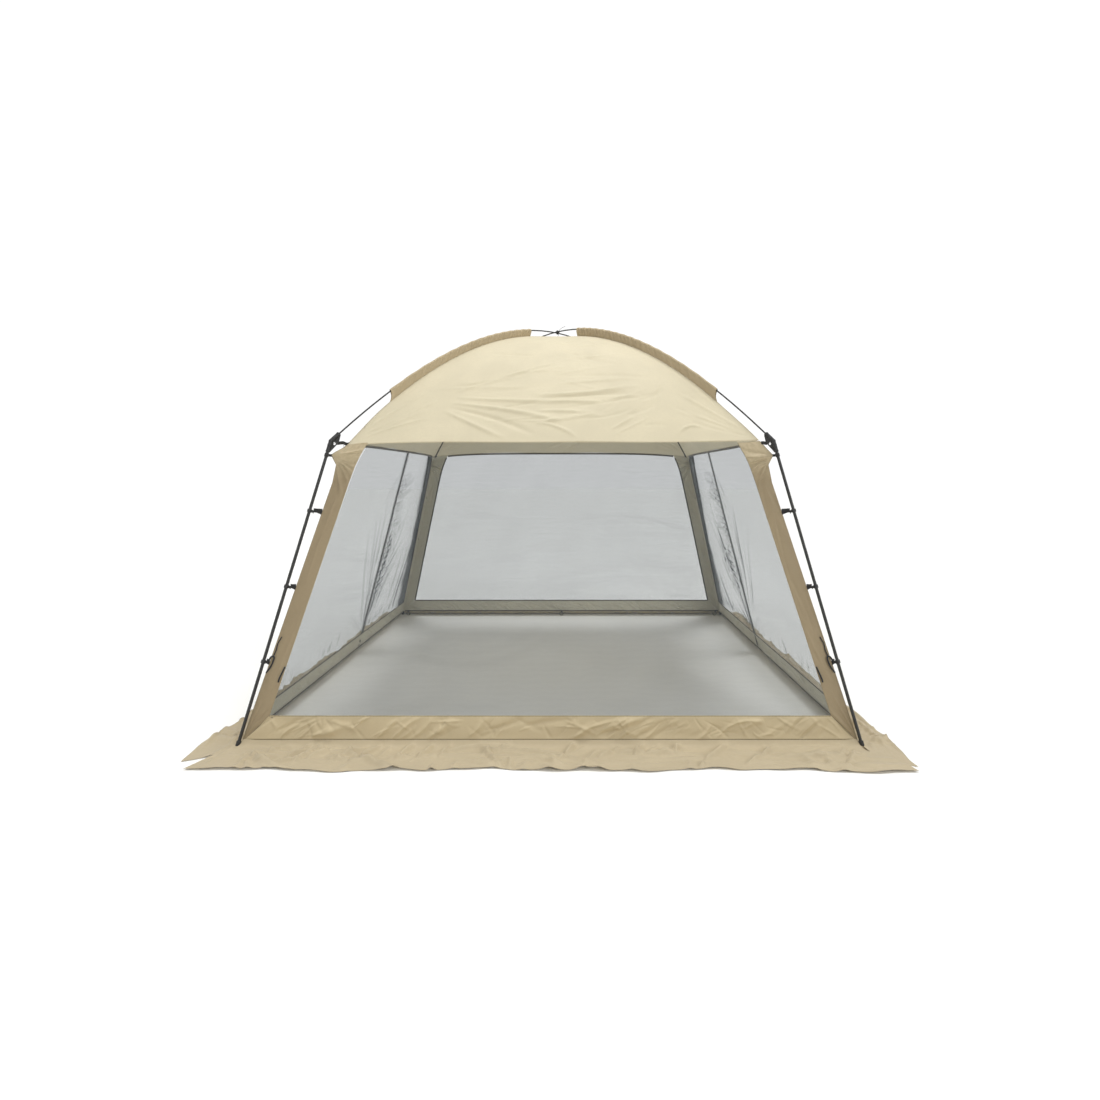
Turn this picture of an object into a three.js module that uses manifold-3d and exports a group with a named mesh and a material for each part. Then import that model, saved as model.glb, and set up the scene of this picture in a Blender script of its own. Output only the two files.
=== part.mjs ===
// Screen house: a square fabric shelter with mesh walls, hung inside four leaning steel legs and
// two crossed roof poles. Millimetres, +Z up, front towards -Y, origin on the ground at the middle.
import * as THREE from 'three';
import { mergeVertices } from 'three/addons/utils/BufferGeometryUtils.js';
import Module from 'manifold-3d';

const wasm = await Module();
wasm.setup();

// Fabric body: half sides of the square plan, and heights
const BASE_HALF = 1500; // at the seam between wall and skirt
const SEAM_Z = 38;
const STRIP_TOP_Z = 148; // top of the plain strip under each mesh
const EAVE_HALF = 1125;
const EAVE_Z = 1508;
const CROWN_Z = 2312; // fabric at the crown
const FABRIC = 2; // thickness that each sheet is given
const SEAM_GAP = 0.6; // clearance between pieces that are sewn together
const ROOF_STEPS = 12;

// Corner column: height, width of each arm of its L plan, and how far its corner is pulled out
const COLUMN_LEVELS = [
  [SEAM_Z, 8, 0],
  [STRIP_TOP_Z, 92, 0],
  [1290, 90, 0],
  [1385, 93, 10],
  [1437, 101, 43],
  [EAVE_Z - 1, 118, 2],
];

// Skirt: a flap sewn to the seam, lying outwards on the ground
const SKIRT_WIDTH = 215;
const SKIRT_SHEET = 2.4;
const SKIRT_START = 25; // the flap starts this far short of the corner
const SKIRT_TIP = 150; // and its mitred tip ends this far beyond it
const SKIRT_FALL = [ // distance out from the seam, height of the underside
  [0.6, 34.6],
  [22, 17],
  [45, 5],
  [72, 0],
  [SKIRT_WIDTH, 0],
];

// Side wall zips
const ZIP_Y = 200; // behind the middle of the side wall
const TAPE_WIDTH = 30;
const TAPE_THICK = 1.6;
const COIL_WIDTH = 5;
const COIL_HEIGHT = 3.2;
const SLIDER_LENGTH = 20;
const SLIDER_Z = 72; // height of a closed slider
const PULL_LENGTH = 38;

// Legs: centre line in the upright plane through the corner diagonal
const ROOT2 = Math.SQRT2;
const FOOT_D = 1518 * ROOT2;
const ELBOW_D = 1186 * ROOT2;
const ELBOW_Z = 1512;
const LEG_RADIUS = 8;
const LEG_BORE = 6.8;
const FOOT_RADIUS = 11.5;
const LEAN = Math.atan2(FOOT_D - ELBOW_D, ELBOW_Z);
const LEG_LENGTH = Math.hypot(FOOT_D - ELBOW_D, ELBOW_Z);

// Roof poles
const POLE_RADIUS = 4.5;
const POLE_CROWN_Z = 2352; // the lower pole; the upper one crosses over it
const POLE_CROSSING = 9.8;
const POLE_FLATTENING = 0.077; // share of the arch that is quartic, which straightens its ends
const POLE_END = 15; // the pole stops this far short of the elbow point
const POLE_STEPS = 48;
const SLEEVE_FROM = 180;
const SLEEVE_TO = 1330;
const SLEEVE_STEPS = 14;
const SLEEVE_LIFT = 1.4; // its foot above the roof's seam

// Elbow hub
const BARREL_LENGTH = 62;
const UPPER_BARREL_RADIUS = 11.5;
const LOWER_BARREL_RADIUS = 11.2;
const WEB_THICK = 9;
const WEB_OUTLINE = [ // from the elbow point
  [0, 0],
  [-45, 42],
  [-53, 33],
  [-42, -8],
  [8, -61],
  [18, -58],
];
const WEB_INNER = WEB_OUTLINE[3];
const EYE_CENTRE = [-20, -13];
const EYE_RADIUS = 8.5;

// Pole clips
const CLIP_HEIGHTS = [['low', 400], ['mid', 761], ['top', 1144]];
const CLIP_RADIUS = 12;
const CLIP_BORE = 8.4;
const CLIP_HEIGHT = 16;
const CLIP_MOUTH = 48; // half of the C's opening, in degrees
const NECK = [9, 7, 13];
const STRAP_WIDTH = 19;
const STRAP_THICK = 2.6;
const ELBOW_STRAP_WIDTH = 15;
const STRAP_CLEARANCE = 1.8;

const CORNERS = [
  ['front_left', 225],
  ['front_right', 315],
  ['back_right', 45],
  ['back_left', 135],
];
const SIDES = [['front', 0], ['right', 90], ['back', 180], ['left', 270]];

const blackPaint = { color: 0x2b2b2a, roughness: 0.42, metalness: 0.6 };
const blackPlastic = { color: 0x30302f, roughness: 0.55, metalness: 0 };
const blackWebbing = { color: 0x1d1c1b, roughness: 0.9, metalness: 0 };
const blackZip = { color: 0x262524, roughness: 0.7, metalness: 0 };
const fibreglass = { color: 0x33322f, roughness: 0.4, metalness: 0 };
const roofFabric = { color: 0xd9caa2, roughness: 0.8, metalness: 0 };
const sleeveFabric = { color: 0xbba983, roughness: 0.8, metalness: 0 };
const columnFabric = { color: 0xa8966f, roughness: 0.8, metalness: 0 };
const skirtFabric = { color: 0xc8b78f, roughness: 0.8, metalness: 0 };
const meshFabric = { color: 0x8f9698, roughness: 0.9, metalness: 0 };

const house = new THREE.Group();

const rad = (degrees) => THREE.MathUtils.degToRad(degrees);

// Adds one named solid, turned about Z by the given angle in degrees
function addPart(name, geometry, look, turn = 0) {
  const mesh = new THREE.Mesh(geometry, new THREE.MeshStandardMaterial(look));
  mesh.name = name;
  mesh.rotation.z = rad(turn);
  house.add(mesh);
}

function solidOf(geometry) {
  const bare = geometry.clone();
  bare.deleteAttribute('normal');
  bare.deleteAttribute('uv');
  const merged = mergeVertices(bare, 1e-4);
  return new wasm.Manifold(new wasm.Mesh({
    numProp: 3,
    vertProperties: merged.attributes.position.array,
    triVerts: Uint32Array.from(merged.index.array),
  }));
}

function geometryOf(solid) {
  const mesh = solid.getMesh();
  const geometry = new THREE.BufferGeometry();
  geometry.setAttribute('position', new THREE.BufferAttribute(mesh.vertProperties, 3));
  geometry.setIndex(new THREE.BufferAttribute(mesh.triVerts, 1));
  return geometry;
}

// Joins the first list of geometries and cuts the second list out of them
function joinAndCut(joined, cut = []) {
  let solid = solidOf(joined[0]);
  for (const geometry of joined.slice(1)) solid = solid.add(solidOf(geometry));
  for (const geometry of cut) solid = solid.subtract(solidOf(geometry));
  return geometryOf(solid);
}

function signedVolume(points, faces) {
  let volume = 0;
  for (const [a, b, c] of faces) {
    volume += points[a].dot(new THREE.Vector3().crossVectors(points[b], points[c])) / 6;
  }
  return volume;
}

// Triangles over a flat ring of points
function capFaces(ring, start) {
  const normal = new THREE.Vector3();
  ring.forEach((point, i) => {
    const next = ring[(i + 1) % ring.length];
    normal.add(new THREE.Vector3().crossVectors(point, next));
  });
  normal.normalize();
  const across = new THREE.Vector3().subVectors(ring[1], ring[0]).normalize();
  const up = new THREE.Vector3().crossVectors(normal, across);
  const flat = ring.map((point) => new THREE.Vector2(point.dot(across), point.dot(up)));
  return THREE.ShapeUtils.triangulateShape(flat, []).map((face) => face.map((i) => i + start));
}

// A closed solid through rings of equally many points, capped at both ends
function loft(rings) {
  const count = rings[0].length;
  const points = rings.flat();
  const faces = [];
  for (let row = 0; row < rings.length - 1; row += 1) {
    for (let i = 0; i < count; i += 1) {
      const a = row * count + i;
      const b = row * count + ((i + 1) % count);
      faces.push([a, b, b + count], [a, b + count, a + count]);
    }
  }
  for (const face of capFaces(rings[0], 0)) faces.push([...face].reverse());
  faces.push(...capFaces(rings.at(-1), points.length - count));
  if (signedVolume(points, faces) < 0) faces.forEach((face) => face.reverse());
  const geometry = new THREE.BufferGeometry().setFromPoints(points);
  geometry.setIndex(faces.flat());
  return geometry;
}

const at = (x, y, z) => new THREE.Vector3(x, y, z);

// Half side of the walls' square plan at a height, on their outer face
function wallHalf(z) {
  return BASE_HALF - ((BASE_HALF - EAVE_HALF) * (z - SEAM_Z)) / (EAVE_Z - SEAM_Z);
}

const WALL_TILT = Math.atan2(BASE_HALF - EAVE_HALF, EAVE_Z - SEAM_Z);
const upSlope = (z) => (z - SEAM_Z) / Math.cos(WALL_TILT);

// Width of a column's arm at a height
function armWidth(z) {
  const above = COLUMN_LEVELS.findIndex(([level]) => level >= z);
  const [z1, w1] = COLUMN_LEVELS[above];
  if (above === 0) return w1;
  const [z0, w0] = COLUMN_LEVELS[above - 1];
  return w0 + ((w1 - w0) * (z - z0)) / (z1 - z0);
}

// Places a geometry drawn as x along the wall, y up its slope and z out of it on the front wall
function ontoWall(geometry, outward) {
  const along = at(1, 0, 0);
  const slope = at(0, Math.sin(WALL_TILT), Math.cos(WALL_TILT));
  const out = at(0, -Math.cos(WALL_TILT), Math.sin(WALL_TILT));
  const place = new THREE.Matrix4().makeBasis(along, slope, out);
  place.setPosition(at(0, -BASE_HALF, SEAM_Z).addScaledVector(out, outward));
  return geometry.applyMatrix4(place);
}

// A flat sheet in the front wall with the outline given as x and height z
function wallSheet(outline) {
  const shape = new THREE.Shape(outline.map(([x, z]) => new THREE.Vector2(x, upSlope(z))));
  const sheet = new THREE.ExtrudeGeometry(shape, { depth: FABRIC, bevelEnabled: false });
  return ontoWall(sheet, -FABRIC);
}

// Roof height over the plan: every level section is a square, so the gores are straight across
function roofHeight(half) {
  return EAVE_Z + (CROWN_Z - EAVE_Z) * (1 - (half / EAVE_HALF) ** 2);
}

function squareRing(half, z) {
  return [at(half, half, z), at(-half, half, z), at(-half, -half, z), at(half, -half, z)];
}

// Roof canopy: an open dome of four gores that meet on the diagonals
function roofCanopy() {
  const halves = [];
  for (let i = 0; i <= ROOF_STEPS; i += 1) {
    halves.push(4 + (EAVE_HALF - 4) * Math.sin((i / ROOF_STEPS) * Math.PI * 0.5));
  }
  const outer = halves.map((half) => squareRing(half, roofHeight(half)));
  const inner = halves.map((half) => {
    const inset = half - FABRIC * (half / EAVE_HALF);
    return squareRing(inset, roofHeight(half) - FABRIC * (half < EAVE_HALF ? 1.4 : 0));
  });
  return loft([...outer, ...inner.reverse()]);
}

// Corner column: an L in plan, its corner drawn out to a point under the elbow
function cornerColumn() {
  return loft(COLUMN_LEVELS.map(([z, arm, pull]) => {
    const half = wallHalf(z);
    return [
      at(half + pull, half + pull, z),
      at(half - arm, half, z),
      at(half - arm, half - FABRIC, z),
      at(half - FABRIC, half - FABRIC, z),
      at(half - FABRIC, half - arm, z),
      at(half, half - arm, z),
    ];
  }));
}

// Points down one column's edge of a mesh, from the eave to the strip
function meshEdge(sign) {
  const heights = COLUMN_LEVELS.map(([z]) => z).slice(2).reverse();
  const levels = [EAVE_Z - SEAM_GAP - 1, ...heights.slice(1), STRIP_TOP_Z + SEAM_GAP];
  return levels.map((z) => [sign * (wallHalf(z) - armWidth(z) - SEAM_GAP), z]);
}

function wholeMesh() {
  return wallSheet([...meshEdge(1), ...meshEdge(-1).reverse()]);
}

// Mesh between one column and the zip; zipX is the zip's place along the wall
function halfMesh(sign, zipX) {
  const x = zipX + sign * (TAPE_WIDTH / 2 + SEAM_GAP);
  const bottom = STRIP_TOP_Z + SEAM_GAP;
  const top = EAVE_Z - SEAM_GAP - 1;
  return wallSheet([...meshEdge(sign), [x, bottom], [x, top]]);
}

const STRIP_BOTTOM_Z = SEAM_Z + SEAM_GAP;
const NOTCH_Z = SEAM_Z + 12; // the strip is whole below the zip

function stripCorners(sign) {
  const low = wallHalf(STRIP_BOTTOM_Z) - armWidth(STRIP_BOTTOM_Z) - SEAM_GAP;
  const high = wallHalf(STRIP_TOP_Z) - armWidth(STRIP_TOP_Z) - SEAM_GAP;
  return [[sign * low, STRIP_BOTTOM_Z], [sign * high, STRIP_TOP_Z]];
}

function baseStrip() {
  return wallSheet([...stripCorners(1), ...stripCorners(-1).reverse()]);
}

function notchedStrip(zipX) {
  const half = TAPE_WIDTH / 2 + SEAM_GAP;
  const notch = [
    [zipX + half, STRIP_TOP_Z],
    [zipX + half, NOTCH_Z],
    [zipX - half, NOTCH_Z],
    [zipX - half, STRIP_TOP_Z],
  ];
  return wallSheet([...stripCorners(1), ...notch, ...stripCorners(-1).reverse()]);
}

// Skirt: falls from the seam to the ground, then lies flat on it
function skirt() {
  return loft(SKIRT_FALL.map(([out, z]) => {
    const reach = BASE_HALF - SKIRT_START + (out / SKIRT_WIDTH) * (SKIRT_START + SKIRT_TIP);
    const y = -BASE_HALF - out;
    const top = z + SKIRT_SHEET;
    return [at(-reach, y, z), at(reach, y, z), at(reach, y, top), at(-reach, y, top)];
  }));
}

// Extrudes a section, drawn as x along the wall and y out of it, up the wall between two heights
function upTheWall(section, zipX, from, length, outward) {
  const shape = new THREE.Shape(section.map(([x, out]) => new THREE.Vector2(x, out)));
  const bar = new THREE.ExtrudeGeometry(shape, { depth: length, bevelEnabled: false });
  bar.rotateX(Math.PI / 2);
  bar.translate(zipX, from + length, 0);
  return ontoWall(bar, outward);
}

function zipTape(zipX) {
  const edge = TAPE_WIDTH / 2;
  const coil = COIL_WIDTH / 2;
  const section = [
    [-edge, 0], [edge, 0], [edge, TAPE_THICK], [coil, TAPE_THICK],
    [coil, COIL_HEIGHT], [-coil, COIL_HEIGHT], [-coil, TAPE_THICK], [-edge, TAPE_THICK],
  ];
  const from = upSlope(NOTCH_Z + SEAM_GAP);
  const length = upSlope(EAVE_Z - SEAM_GAP - 1) - from;
  return upTheWall(section, zipX, from, length, -FABRIC);
}

const SLIDER_HALF = 7;
const SLIDER_TOP = 5.6; // outer face of the slider above the wall's outer face
const SLIDER_FLOOR = 0.3; // clearance over the tape
const CHANNEL_HALF = 3.3; // passage for the coil
const CHANNEL_TOP = 1.9;
const LUG_HALF = 1.5;
const LUG_HEIGHT = 4;
const LUG_FROM = 8; // along the slider
const LUG_TO = 14;
const HINGE_OUT = SLIDER_TOP + 2.2;
const HINGE_UP = 11; // above the slider's lower end
const PULL_HALF = 4.2;
const PULL_THICK = 1.8;
const PULL_SLOT = [2, 6]; // half width and depth of the slot for the lug
const PULL_ABOVE = 1.6; // the fork's prongs end this far above the hinge

// Slider: rides over the coil, with a lug that the pull hangs from
function zipSlider(zipX) {
  const body = [
    [-SLIDER_HALF, SLIDER_FLOOR],
    [-CHANNEL_HALF, SLIDER_FLOOR],
    [-CHANNEL_HALF, CHANNEL_TOP],
    [CHANNEL_HALF, CHANNEL_TOP],
    [CHANNEL_HALF, SLIDER_FLOOR],
    [SLIDER_HALF, SLIDER_FLOOR],
    [SLIDER_HALF, SLIDER_TOP],
    [-SLIDER_HALF, SLIDER_TOP],
  ];
  const lug = [
    [-LUG_HALF, SLIDER_TOP - 1],
    [LUG_HALF, SLIDER_TOP - 1],
    [LUG_HALF, SLIDER_TOP + LUG_HEIGHT],
    [-LUG_HALF, SLIDER_TOP + LUG_HEIGHT],
  ];
  const from = upSlope(SLIDER_Z);
  return joinAndCut([
    upTheWall(body, zipX, from, SLIDER_LENGTH, 0),
    upTheWall(lug, zipX, from + LUG_FROM, LUG_TO - LUG_FROM, 0),
  ]);
}

// Pull: a fork around the slider's lug and a flat tab down the wall
function zipPull(zipX) {
  const [slotHalf, slotDepth] = PULL_SLOT;
  const half = [
    [slotHalf, -slotDepth],
    [slotHalf, PULL_ABOVE],
    [PULL_HALF, PULL_ABOVE],
    [PULL_HALF, -PULL_LENGTH + 3],
    [PULL_HALF - 1.8, -PULL_LENGTH],
  ];
  const mirrored = half.map(([x, y]) => [-x, y]).reverse();
  const fork = new THREE.Shape([...half, ...mirrored].map(([x, y]) => new THREE.Vector2(x, y)));
  const tab = new THREE.ExtrudeGeometry(fork, { depth: PULL_THICK, bevelEnabled: false });
  tab.translate(zipX, upSlope(SLIDER_Z) + HINGE_UP, HINGE_OUT - PULL_THICK / 2);
  return ontoWall(tab, 0);
}

// Height of a roof pole at a distance from the middle along its diagonal
function poleHeight(d, lift) {
  const t = d / ELBOW_D;
  const rise = POLE_CROWN_Z + lift - ELBOW_Z;
  return ELBOW_Z + rise * (1 - (1 + POLE_FLATTENING) * t ** 2 + POLE_FLATTENING * t ** 4);
}

function poleSlope(d, lift) {
  return (poleHeight(d + 0.5, lift) - poleHeight(d - 0.5, lift));
}

function circle(radius, sides) {
  const points = [];
  for (let i = 0; i < sides; i += 1) {
    const angle = ((i + 0.5) / sides) * 2 * Math.PI;
    points.push(new THREE.Vector2(radius * Math.cos(angle), radius * Math.sin(angle)));
  }
  return new THREE.Shape(points);
}

// Roof pole: a rod along the arch, its ends in the two hubs
function roofPole(lift) {
  const endD = ELBOW_D - POLE_END * Math.cos(Math.atan(poleSlope(ELBOW_D, lift)));
  const points = [];
  const knots = POLE_STEPS / 2;
  for (let i = 0; i <= knots; i += 1) {
    const d = -endD + (2 * endD * i) / knots;
    points.push(at(d, 0, poleHeight(d, lift)));
  }
  const extrudePath = new THREE.CatmullRomCurve3(points);
  return new THREE.ExtrudeGeometry(circle(POLE_RADIUS, 10), { steps: POLE_STEPS, extrudePath });
}

// Sleeve: fabric folded over the pole and sewn to the diagonal seam of the roof
function poleSleeve(lift) {
  const rings = [];
  const inner = POLE_RADIUS + 0.9;
  const outer = inner + FABRIC;
  for (let i = 0; i <= SLEEVE_STEPS; i += 1) {
    const d = SLEEVE_FROM + ((SLEEVE_TO - SLEEVE_FROM) * i) / SLEEVE_STEPS;
    const stretch = 1 / Math.cos(Math.atan(poleSlope(d, lift)));
    const top = poleHeight(d, lift) + outer * stretch;
    const ceiling = poleHeight(d, lift) + inner * stretch;
    const foot = roofHeight(d / ROOT2) + SLEEVE_LIFT;
    rings.push([
      at(d, -outer, foot), at(d, -outer, top), at(d, outer, top), at(d, outer, foot),
      at(d, inner, foot), at(d, inner, ceiling), at(d, -inner, ceiling), at(d, -inner, foot),
    ]);
  }
  return loft(rings);
}

// Moves a geometry from the leg's own frame, z up the leg and x outwards, into the corner plane
function ontoLeg(geometry) {
  geometry.rotateY(-LEAN);
  return geometry.translate(FOOT_D, 0, 0);
}

const FOOT_CENTRE = FOOT_RADIUS / Math.cos(LEAN);

// Leg: one steel tube from its foot cap into the hub
function leg() {
  const section = circle(LEG_RADIUS, 16);
  section.holes.push(new THREE.Path(circle(LEG_BORE, 16).getPoints()));
  const from = FOOT_CENTRE + 2.5;
  const depth = LEG_LENGTH - 15 - from;
  const tube = new THREE.ExtrudeGeometry(section, { depth, bevelEnabled: false });
  return ontoLeg(tube.translate(0, 0, from));
}

// Foot cap: a cup on the tube with a domed end that stands on the ground
function footCap() {
  const profile = [];
  for (let i = 0; i <= 6; i += 1) {
    const angle = (i / 6) * Math.PI * 0.5;
    const radius = i === 0 ? 0 : FOOT_RADIUS * Math.sin(angle);
    profile.push(new THREE.Vector2(radius, FOOT_CENTRE - FOOT_RADIUS * Math.cos(angle)));
  }
  profile.push(new THREE.Vector2(FOOT_RADIUS, FOOT_CENTRE + 26));
  profile.push(new THREE.Vector2(FOOT_RADIUS - 1.2, FOOT_CENTRE + 28));
  profile.push(new THREE.Vector2(LEG_RADIUS + 0.4, FOOT_CENTRE + 28));
  profile.push(new THREE.Vector2(LEG_RADIUS + 0.4, FOOT_CENTRE + 2));
  profile.push(new THREE.Vector2(0, FOOT_CENTRE + 2));
  return ontoLeg(new THREE.LatheGeometry(profile, 20).rotateX(Math.PI / 2));
}

// A cylinder from a point in the corner plane, along a direction given as an angle above outwards
function rodFrom(d, z, angle, start, length, radius, sides = 20) {
  const rod = new THREE.CylinderGeometry(radius, radius, length, sides);
  rod.rotateZ(-Math.PI / 2);
  rod.translate(start + length / 2, 0, 0);
  rod.rotateY(-angle);
  return rod.translate(d, 0, z);
}

const DOWN_LEG = -Math.PI / 2 + LEAN;
const upPole = (lift) => Math.PI - Math.atan(-poleSlope(ELBOW_D, lift));

// Elbow hub: two sockets joined by a web with an eye in it
function elbowHub(lift) {
  const pole = upPole(lift);
  const upper = rodFrom(ELBOW_D, ELBOW_Z, pole, 0, BARREL_LENGTH, UPPER_BARREL_RADIUS);
  const lower = rodFrom(ELBOW_D, ELBOW_Z, DOWN_LEG, 0, BARREL_LENGTH, LOWER_BARREL_RADIUS);
  const bend = new THREE.SphereGeometry(UPPER_BARREL_RADIUS + 0.4, 16, 10);
  bend.translate(ELBOW_D, 0, ELBOW_Z);
  const outline = new THREE.Shape(WEB_OUTLINE.map(([d, z]) => new THREE.Vector2(d, z)));
  const web = new THREE.ExtrudeGeometry(outline, { depth: WEB_THICK, bevelEnabled: false });
  web.rotateX(Math.PI / 2);
  web.translate(ELBOW_D, WEB_THICK / 2, ELBOW_Z);
  const eye = new THREE.CylinderGeometry(EYE_RADIUS, EYE_RADIUS, WEB_THICK * 4, 20);
  eye.translate(ELBOW_D + EYE_CENTRE[0], 0, ELBOW_Z + EYE_CENTRE[1]);
  const poleBore = rodFrom(ELBOW_D, ELBOW_Z, pole, POLE_END - 1, 90, POLE_RADIUS + 0.6);
  const legBore = rodFrom(ELBOW_D, ELBOW_Z, DOWN_LEG, 14, 90, LEG_RADIUS + 0.4);
  return joinAndCut([upper, lower, bend, web], [eye, poleBore, legBore]);
}

// Perpendicular distance from the leg's centre line to the column's corner at a height
function legToColumn(z) {
  const lineD = FOOT_D - z * Math.tan(LEAN);
  const fall = ROOT2 * Math.tan(WALL_TILT);
  return (lineD - ROOT2 * wallHalf(z)) / (Math.cos(LEAN) + fall * Math.sin(LEAN));
}

// Pole clip: a C that snaps onto the leg, a neck, and a short webbing strap to the column
function poleClip(z) {
  const shape = new THREE.Shape();
  const mouth = rad(CLIP_MOUTH);
  shape.absarc(0, 0, CLIP_RADIUS, mouth, -mouth + 2 * Math.PI, false);
  shape.absarc(0, 0, CLIP_BORE, -mouth + 2 * Math.PI, mouth, true);
  const ring = new THREE.ExtrudeGeometry(shape, { depth: CLIP_HEIGHT, bevelEnabled: false });
  ring.translate(0, 0, -CLIP_HEIGHT / 2);
  const neck = new THREE.BoxGeometry(...NECK);
  neck.translate(-CLIP_RADIUS - 3, 0, 0);
  const end = legToColumn(z) - STRAP_CLEARANCE;
  const strap = new THREE.BoxGeometry(end - CLIP_RADIUS - 4, STRAP_THICK, STRAP_WIDTH);
  strap.translate(-(end + CLIP_RADIUS + 4) / 2, 0, 0);
  const clip = joinAndCut([ring, neck, strap]);
  return ontoLeg(clip.translate(0, 0, z / Math.cos(LEAN)));
}

// Elbow strap: webbing from the roof's corner to the hub's web
function elbowStrap() {
  const from = new THREE.Vector2(ELBOW_D + WEB_INNER[0] - 1.5, ELBOW_Z + WEB_INNER[1]);
  const to = new THREE.Vector2(EAVE_HALF * ROOT2 + 6, EAVE_Z + 4);
  const length = from.distanceTo(to);
  const strap = new THREE.BoxGeometry(length, ELBOW_STRAP_WIDTH, STRAP_THICK);
  strap.rotateY(Math.atan2(to.y - from.y, from.x - to.x));
  return strap.translate((from.x + to.x) / 2, 0, (from.y + to.y) / 2);
}

// Crown tie: a turn of cord round the crossing of the two poles
function crownTie() {
  const tie = new THREE.TorusGeometry(11, 2.2, 8, 24);
  tie.scale(1, 1.32, 1);
  tie.rotateX(Math.PI / 2);
  return tie.translate(0, 0, POLE_CROWN_Z + POLE_CROSSING / 2);
}

addPart('roof_canopy', roofCanopy(), roofFabric);
addPart('roof_pole_lower', roofPole(0), fibreglass, 45);
addPart('roof_pole_upper', roofPole(POLE_CROSSING), fibreglass, 135);
addPart('crown_tie', crownTie(), blackWebbing);

for (const [corner, turn] of CORNERS) {
  const lift = turn % 180 === 45 ? 0 : POLE_CROSSING;
  addPart(`corner_column_${corner}`, cornerColumn(), columnFabric, turn - 45);
  addPart(`leg_${corner}`, leg(), blackPaint, turn);
  addPart(`foot_cap_${corner}`, footCap(), blackPlastic, turn);
  addPart(`elbow_hub_${corner}`, elbowHub(lift), blackPlastic, turn);
  addPart(`elbow_strap_${corner}`, elbowStrap(), blackWebbing, turn);
  addPart(`pole_sleeve_${corner}`, poleSleeve(lift), sleeveFabric, turn);
  for (const [place, z] of CLIP_HEIGHTS) {
    addPart(`pole_clip_${corner}_${place}`, poleClip(z), blackPlastic, turn);
  }
}

for (const [side, turn] of SIDES) {
  addPart(`skirt_${side}`, skirt(), skirtFabric, turn);
  if (side === 'front' || side === 'back') {
    addPart(`mesh_${side}`, wholeMesh(), meshFabric, turn);
    addPart(`base_strip_${side}`, baseStrip(), skirtFabric, turn);
    continue;
  }
  const zipX = side === 'right' ? ZIP_Y : -ZIP_Y;
  const towardsBack = Math.sign(zipX);
  addPart(`mesh_${side}_front`, halfMesh(-towardsBack, zipX), meshFabric, turn);
  addPart(`mesh_${side}_back`, halfMesh(towardsBack, zipX), meshFabric, turn);
  addPart(`base_strip_${side}`, notchedStrip(zipX), skirtFabric, turn);
  addPart(`zip_tape_${side}`, zipTape(zipX), blackZip, turn);
  addPart(`zip_slider_${side}`, zipSlider(zipX), blackZip, turn);
  addPart(`zip_pull_${side}`, zipPull(zipX), blackZip, turn);
}

export default house;
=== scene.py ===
"""Looks of the screen house: its cloth, cords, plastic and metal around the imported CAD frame.

Metres, +Z up, front towards -Y. Cloth is made as grids of points whose folds are raised in code.
"""

import math

import bmesh
import bpy
import numpy as np
from mathutils import Matrix, Vector


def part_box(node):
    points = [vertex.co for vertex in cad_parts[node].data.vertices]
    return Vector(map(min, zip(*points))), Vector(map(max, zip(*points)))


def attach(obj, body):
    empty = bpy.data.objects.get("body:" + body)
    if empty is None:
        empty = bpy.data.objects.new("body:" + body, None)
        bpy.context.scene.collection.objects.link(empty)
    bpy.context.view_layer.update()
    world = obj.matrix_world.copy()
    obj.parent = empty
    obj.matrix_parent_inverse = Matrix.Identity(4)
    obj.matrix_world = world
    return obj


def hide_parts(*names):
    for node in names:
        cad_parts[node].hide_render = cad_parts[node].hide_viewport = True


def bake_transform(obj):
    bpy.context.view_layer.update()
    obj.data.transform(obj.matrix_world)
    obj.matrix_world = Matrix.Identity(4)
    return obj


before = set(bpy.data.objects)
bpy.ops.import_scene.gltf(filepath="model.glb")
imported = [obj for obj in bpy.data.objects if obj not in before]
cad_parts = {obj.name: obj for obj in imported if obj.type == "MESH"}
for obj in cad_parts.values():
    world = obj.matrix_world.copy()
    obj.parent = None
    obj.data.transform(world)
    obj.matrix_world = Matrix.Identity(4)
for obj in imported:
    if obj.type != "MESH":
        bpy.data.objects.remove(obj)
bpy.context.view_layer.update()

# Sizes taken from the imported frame
ROOF_LOW, ROOF_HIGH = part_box("roof_canopy")
EAVE_HALF = ROOF_HIGH.x
EAVE_Z = ROOF_LOW.z
CROWN_Z = ROOF_HIGH.z
COLUMN_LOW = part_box("corner_column_front_left")[0]
BASE_HALF = -COLUMN_LOW.x
SEAM_Z = COLUMN_LOW.z
STRIP_TOP_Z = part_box("mesh_front")[0].z
TAPE_LOW, TAPE_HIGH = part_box("zip_tape_right")
ZIP_ALONG = (TAPE_LOW.y + TAPE_HIGH.y) / 2
LEG_RADIUS = 0.008
ROOT2 = math.sqrt(2)

# Leg line and hub, in the upright plane through a corner: distance from the middle, height
FOOT_D = 1.518 * ROOT2
ELBOW_D = 1.186 * ROOT2
ELBOW_Z = 1.512
LEAN = math.atan2(FOOT_D - ELBOW_D, ELBOW_Z)
POLE_CROWN_Z = 2.352
POLE_CROSSING = 0.0098  # the upper pole lies this far above the lower one at the crown
POLE_FLATTENING = 0.077

TIP_Z = 1.437  # height of the column's drawn-out tip, which is tied to the leg
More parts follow.
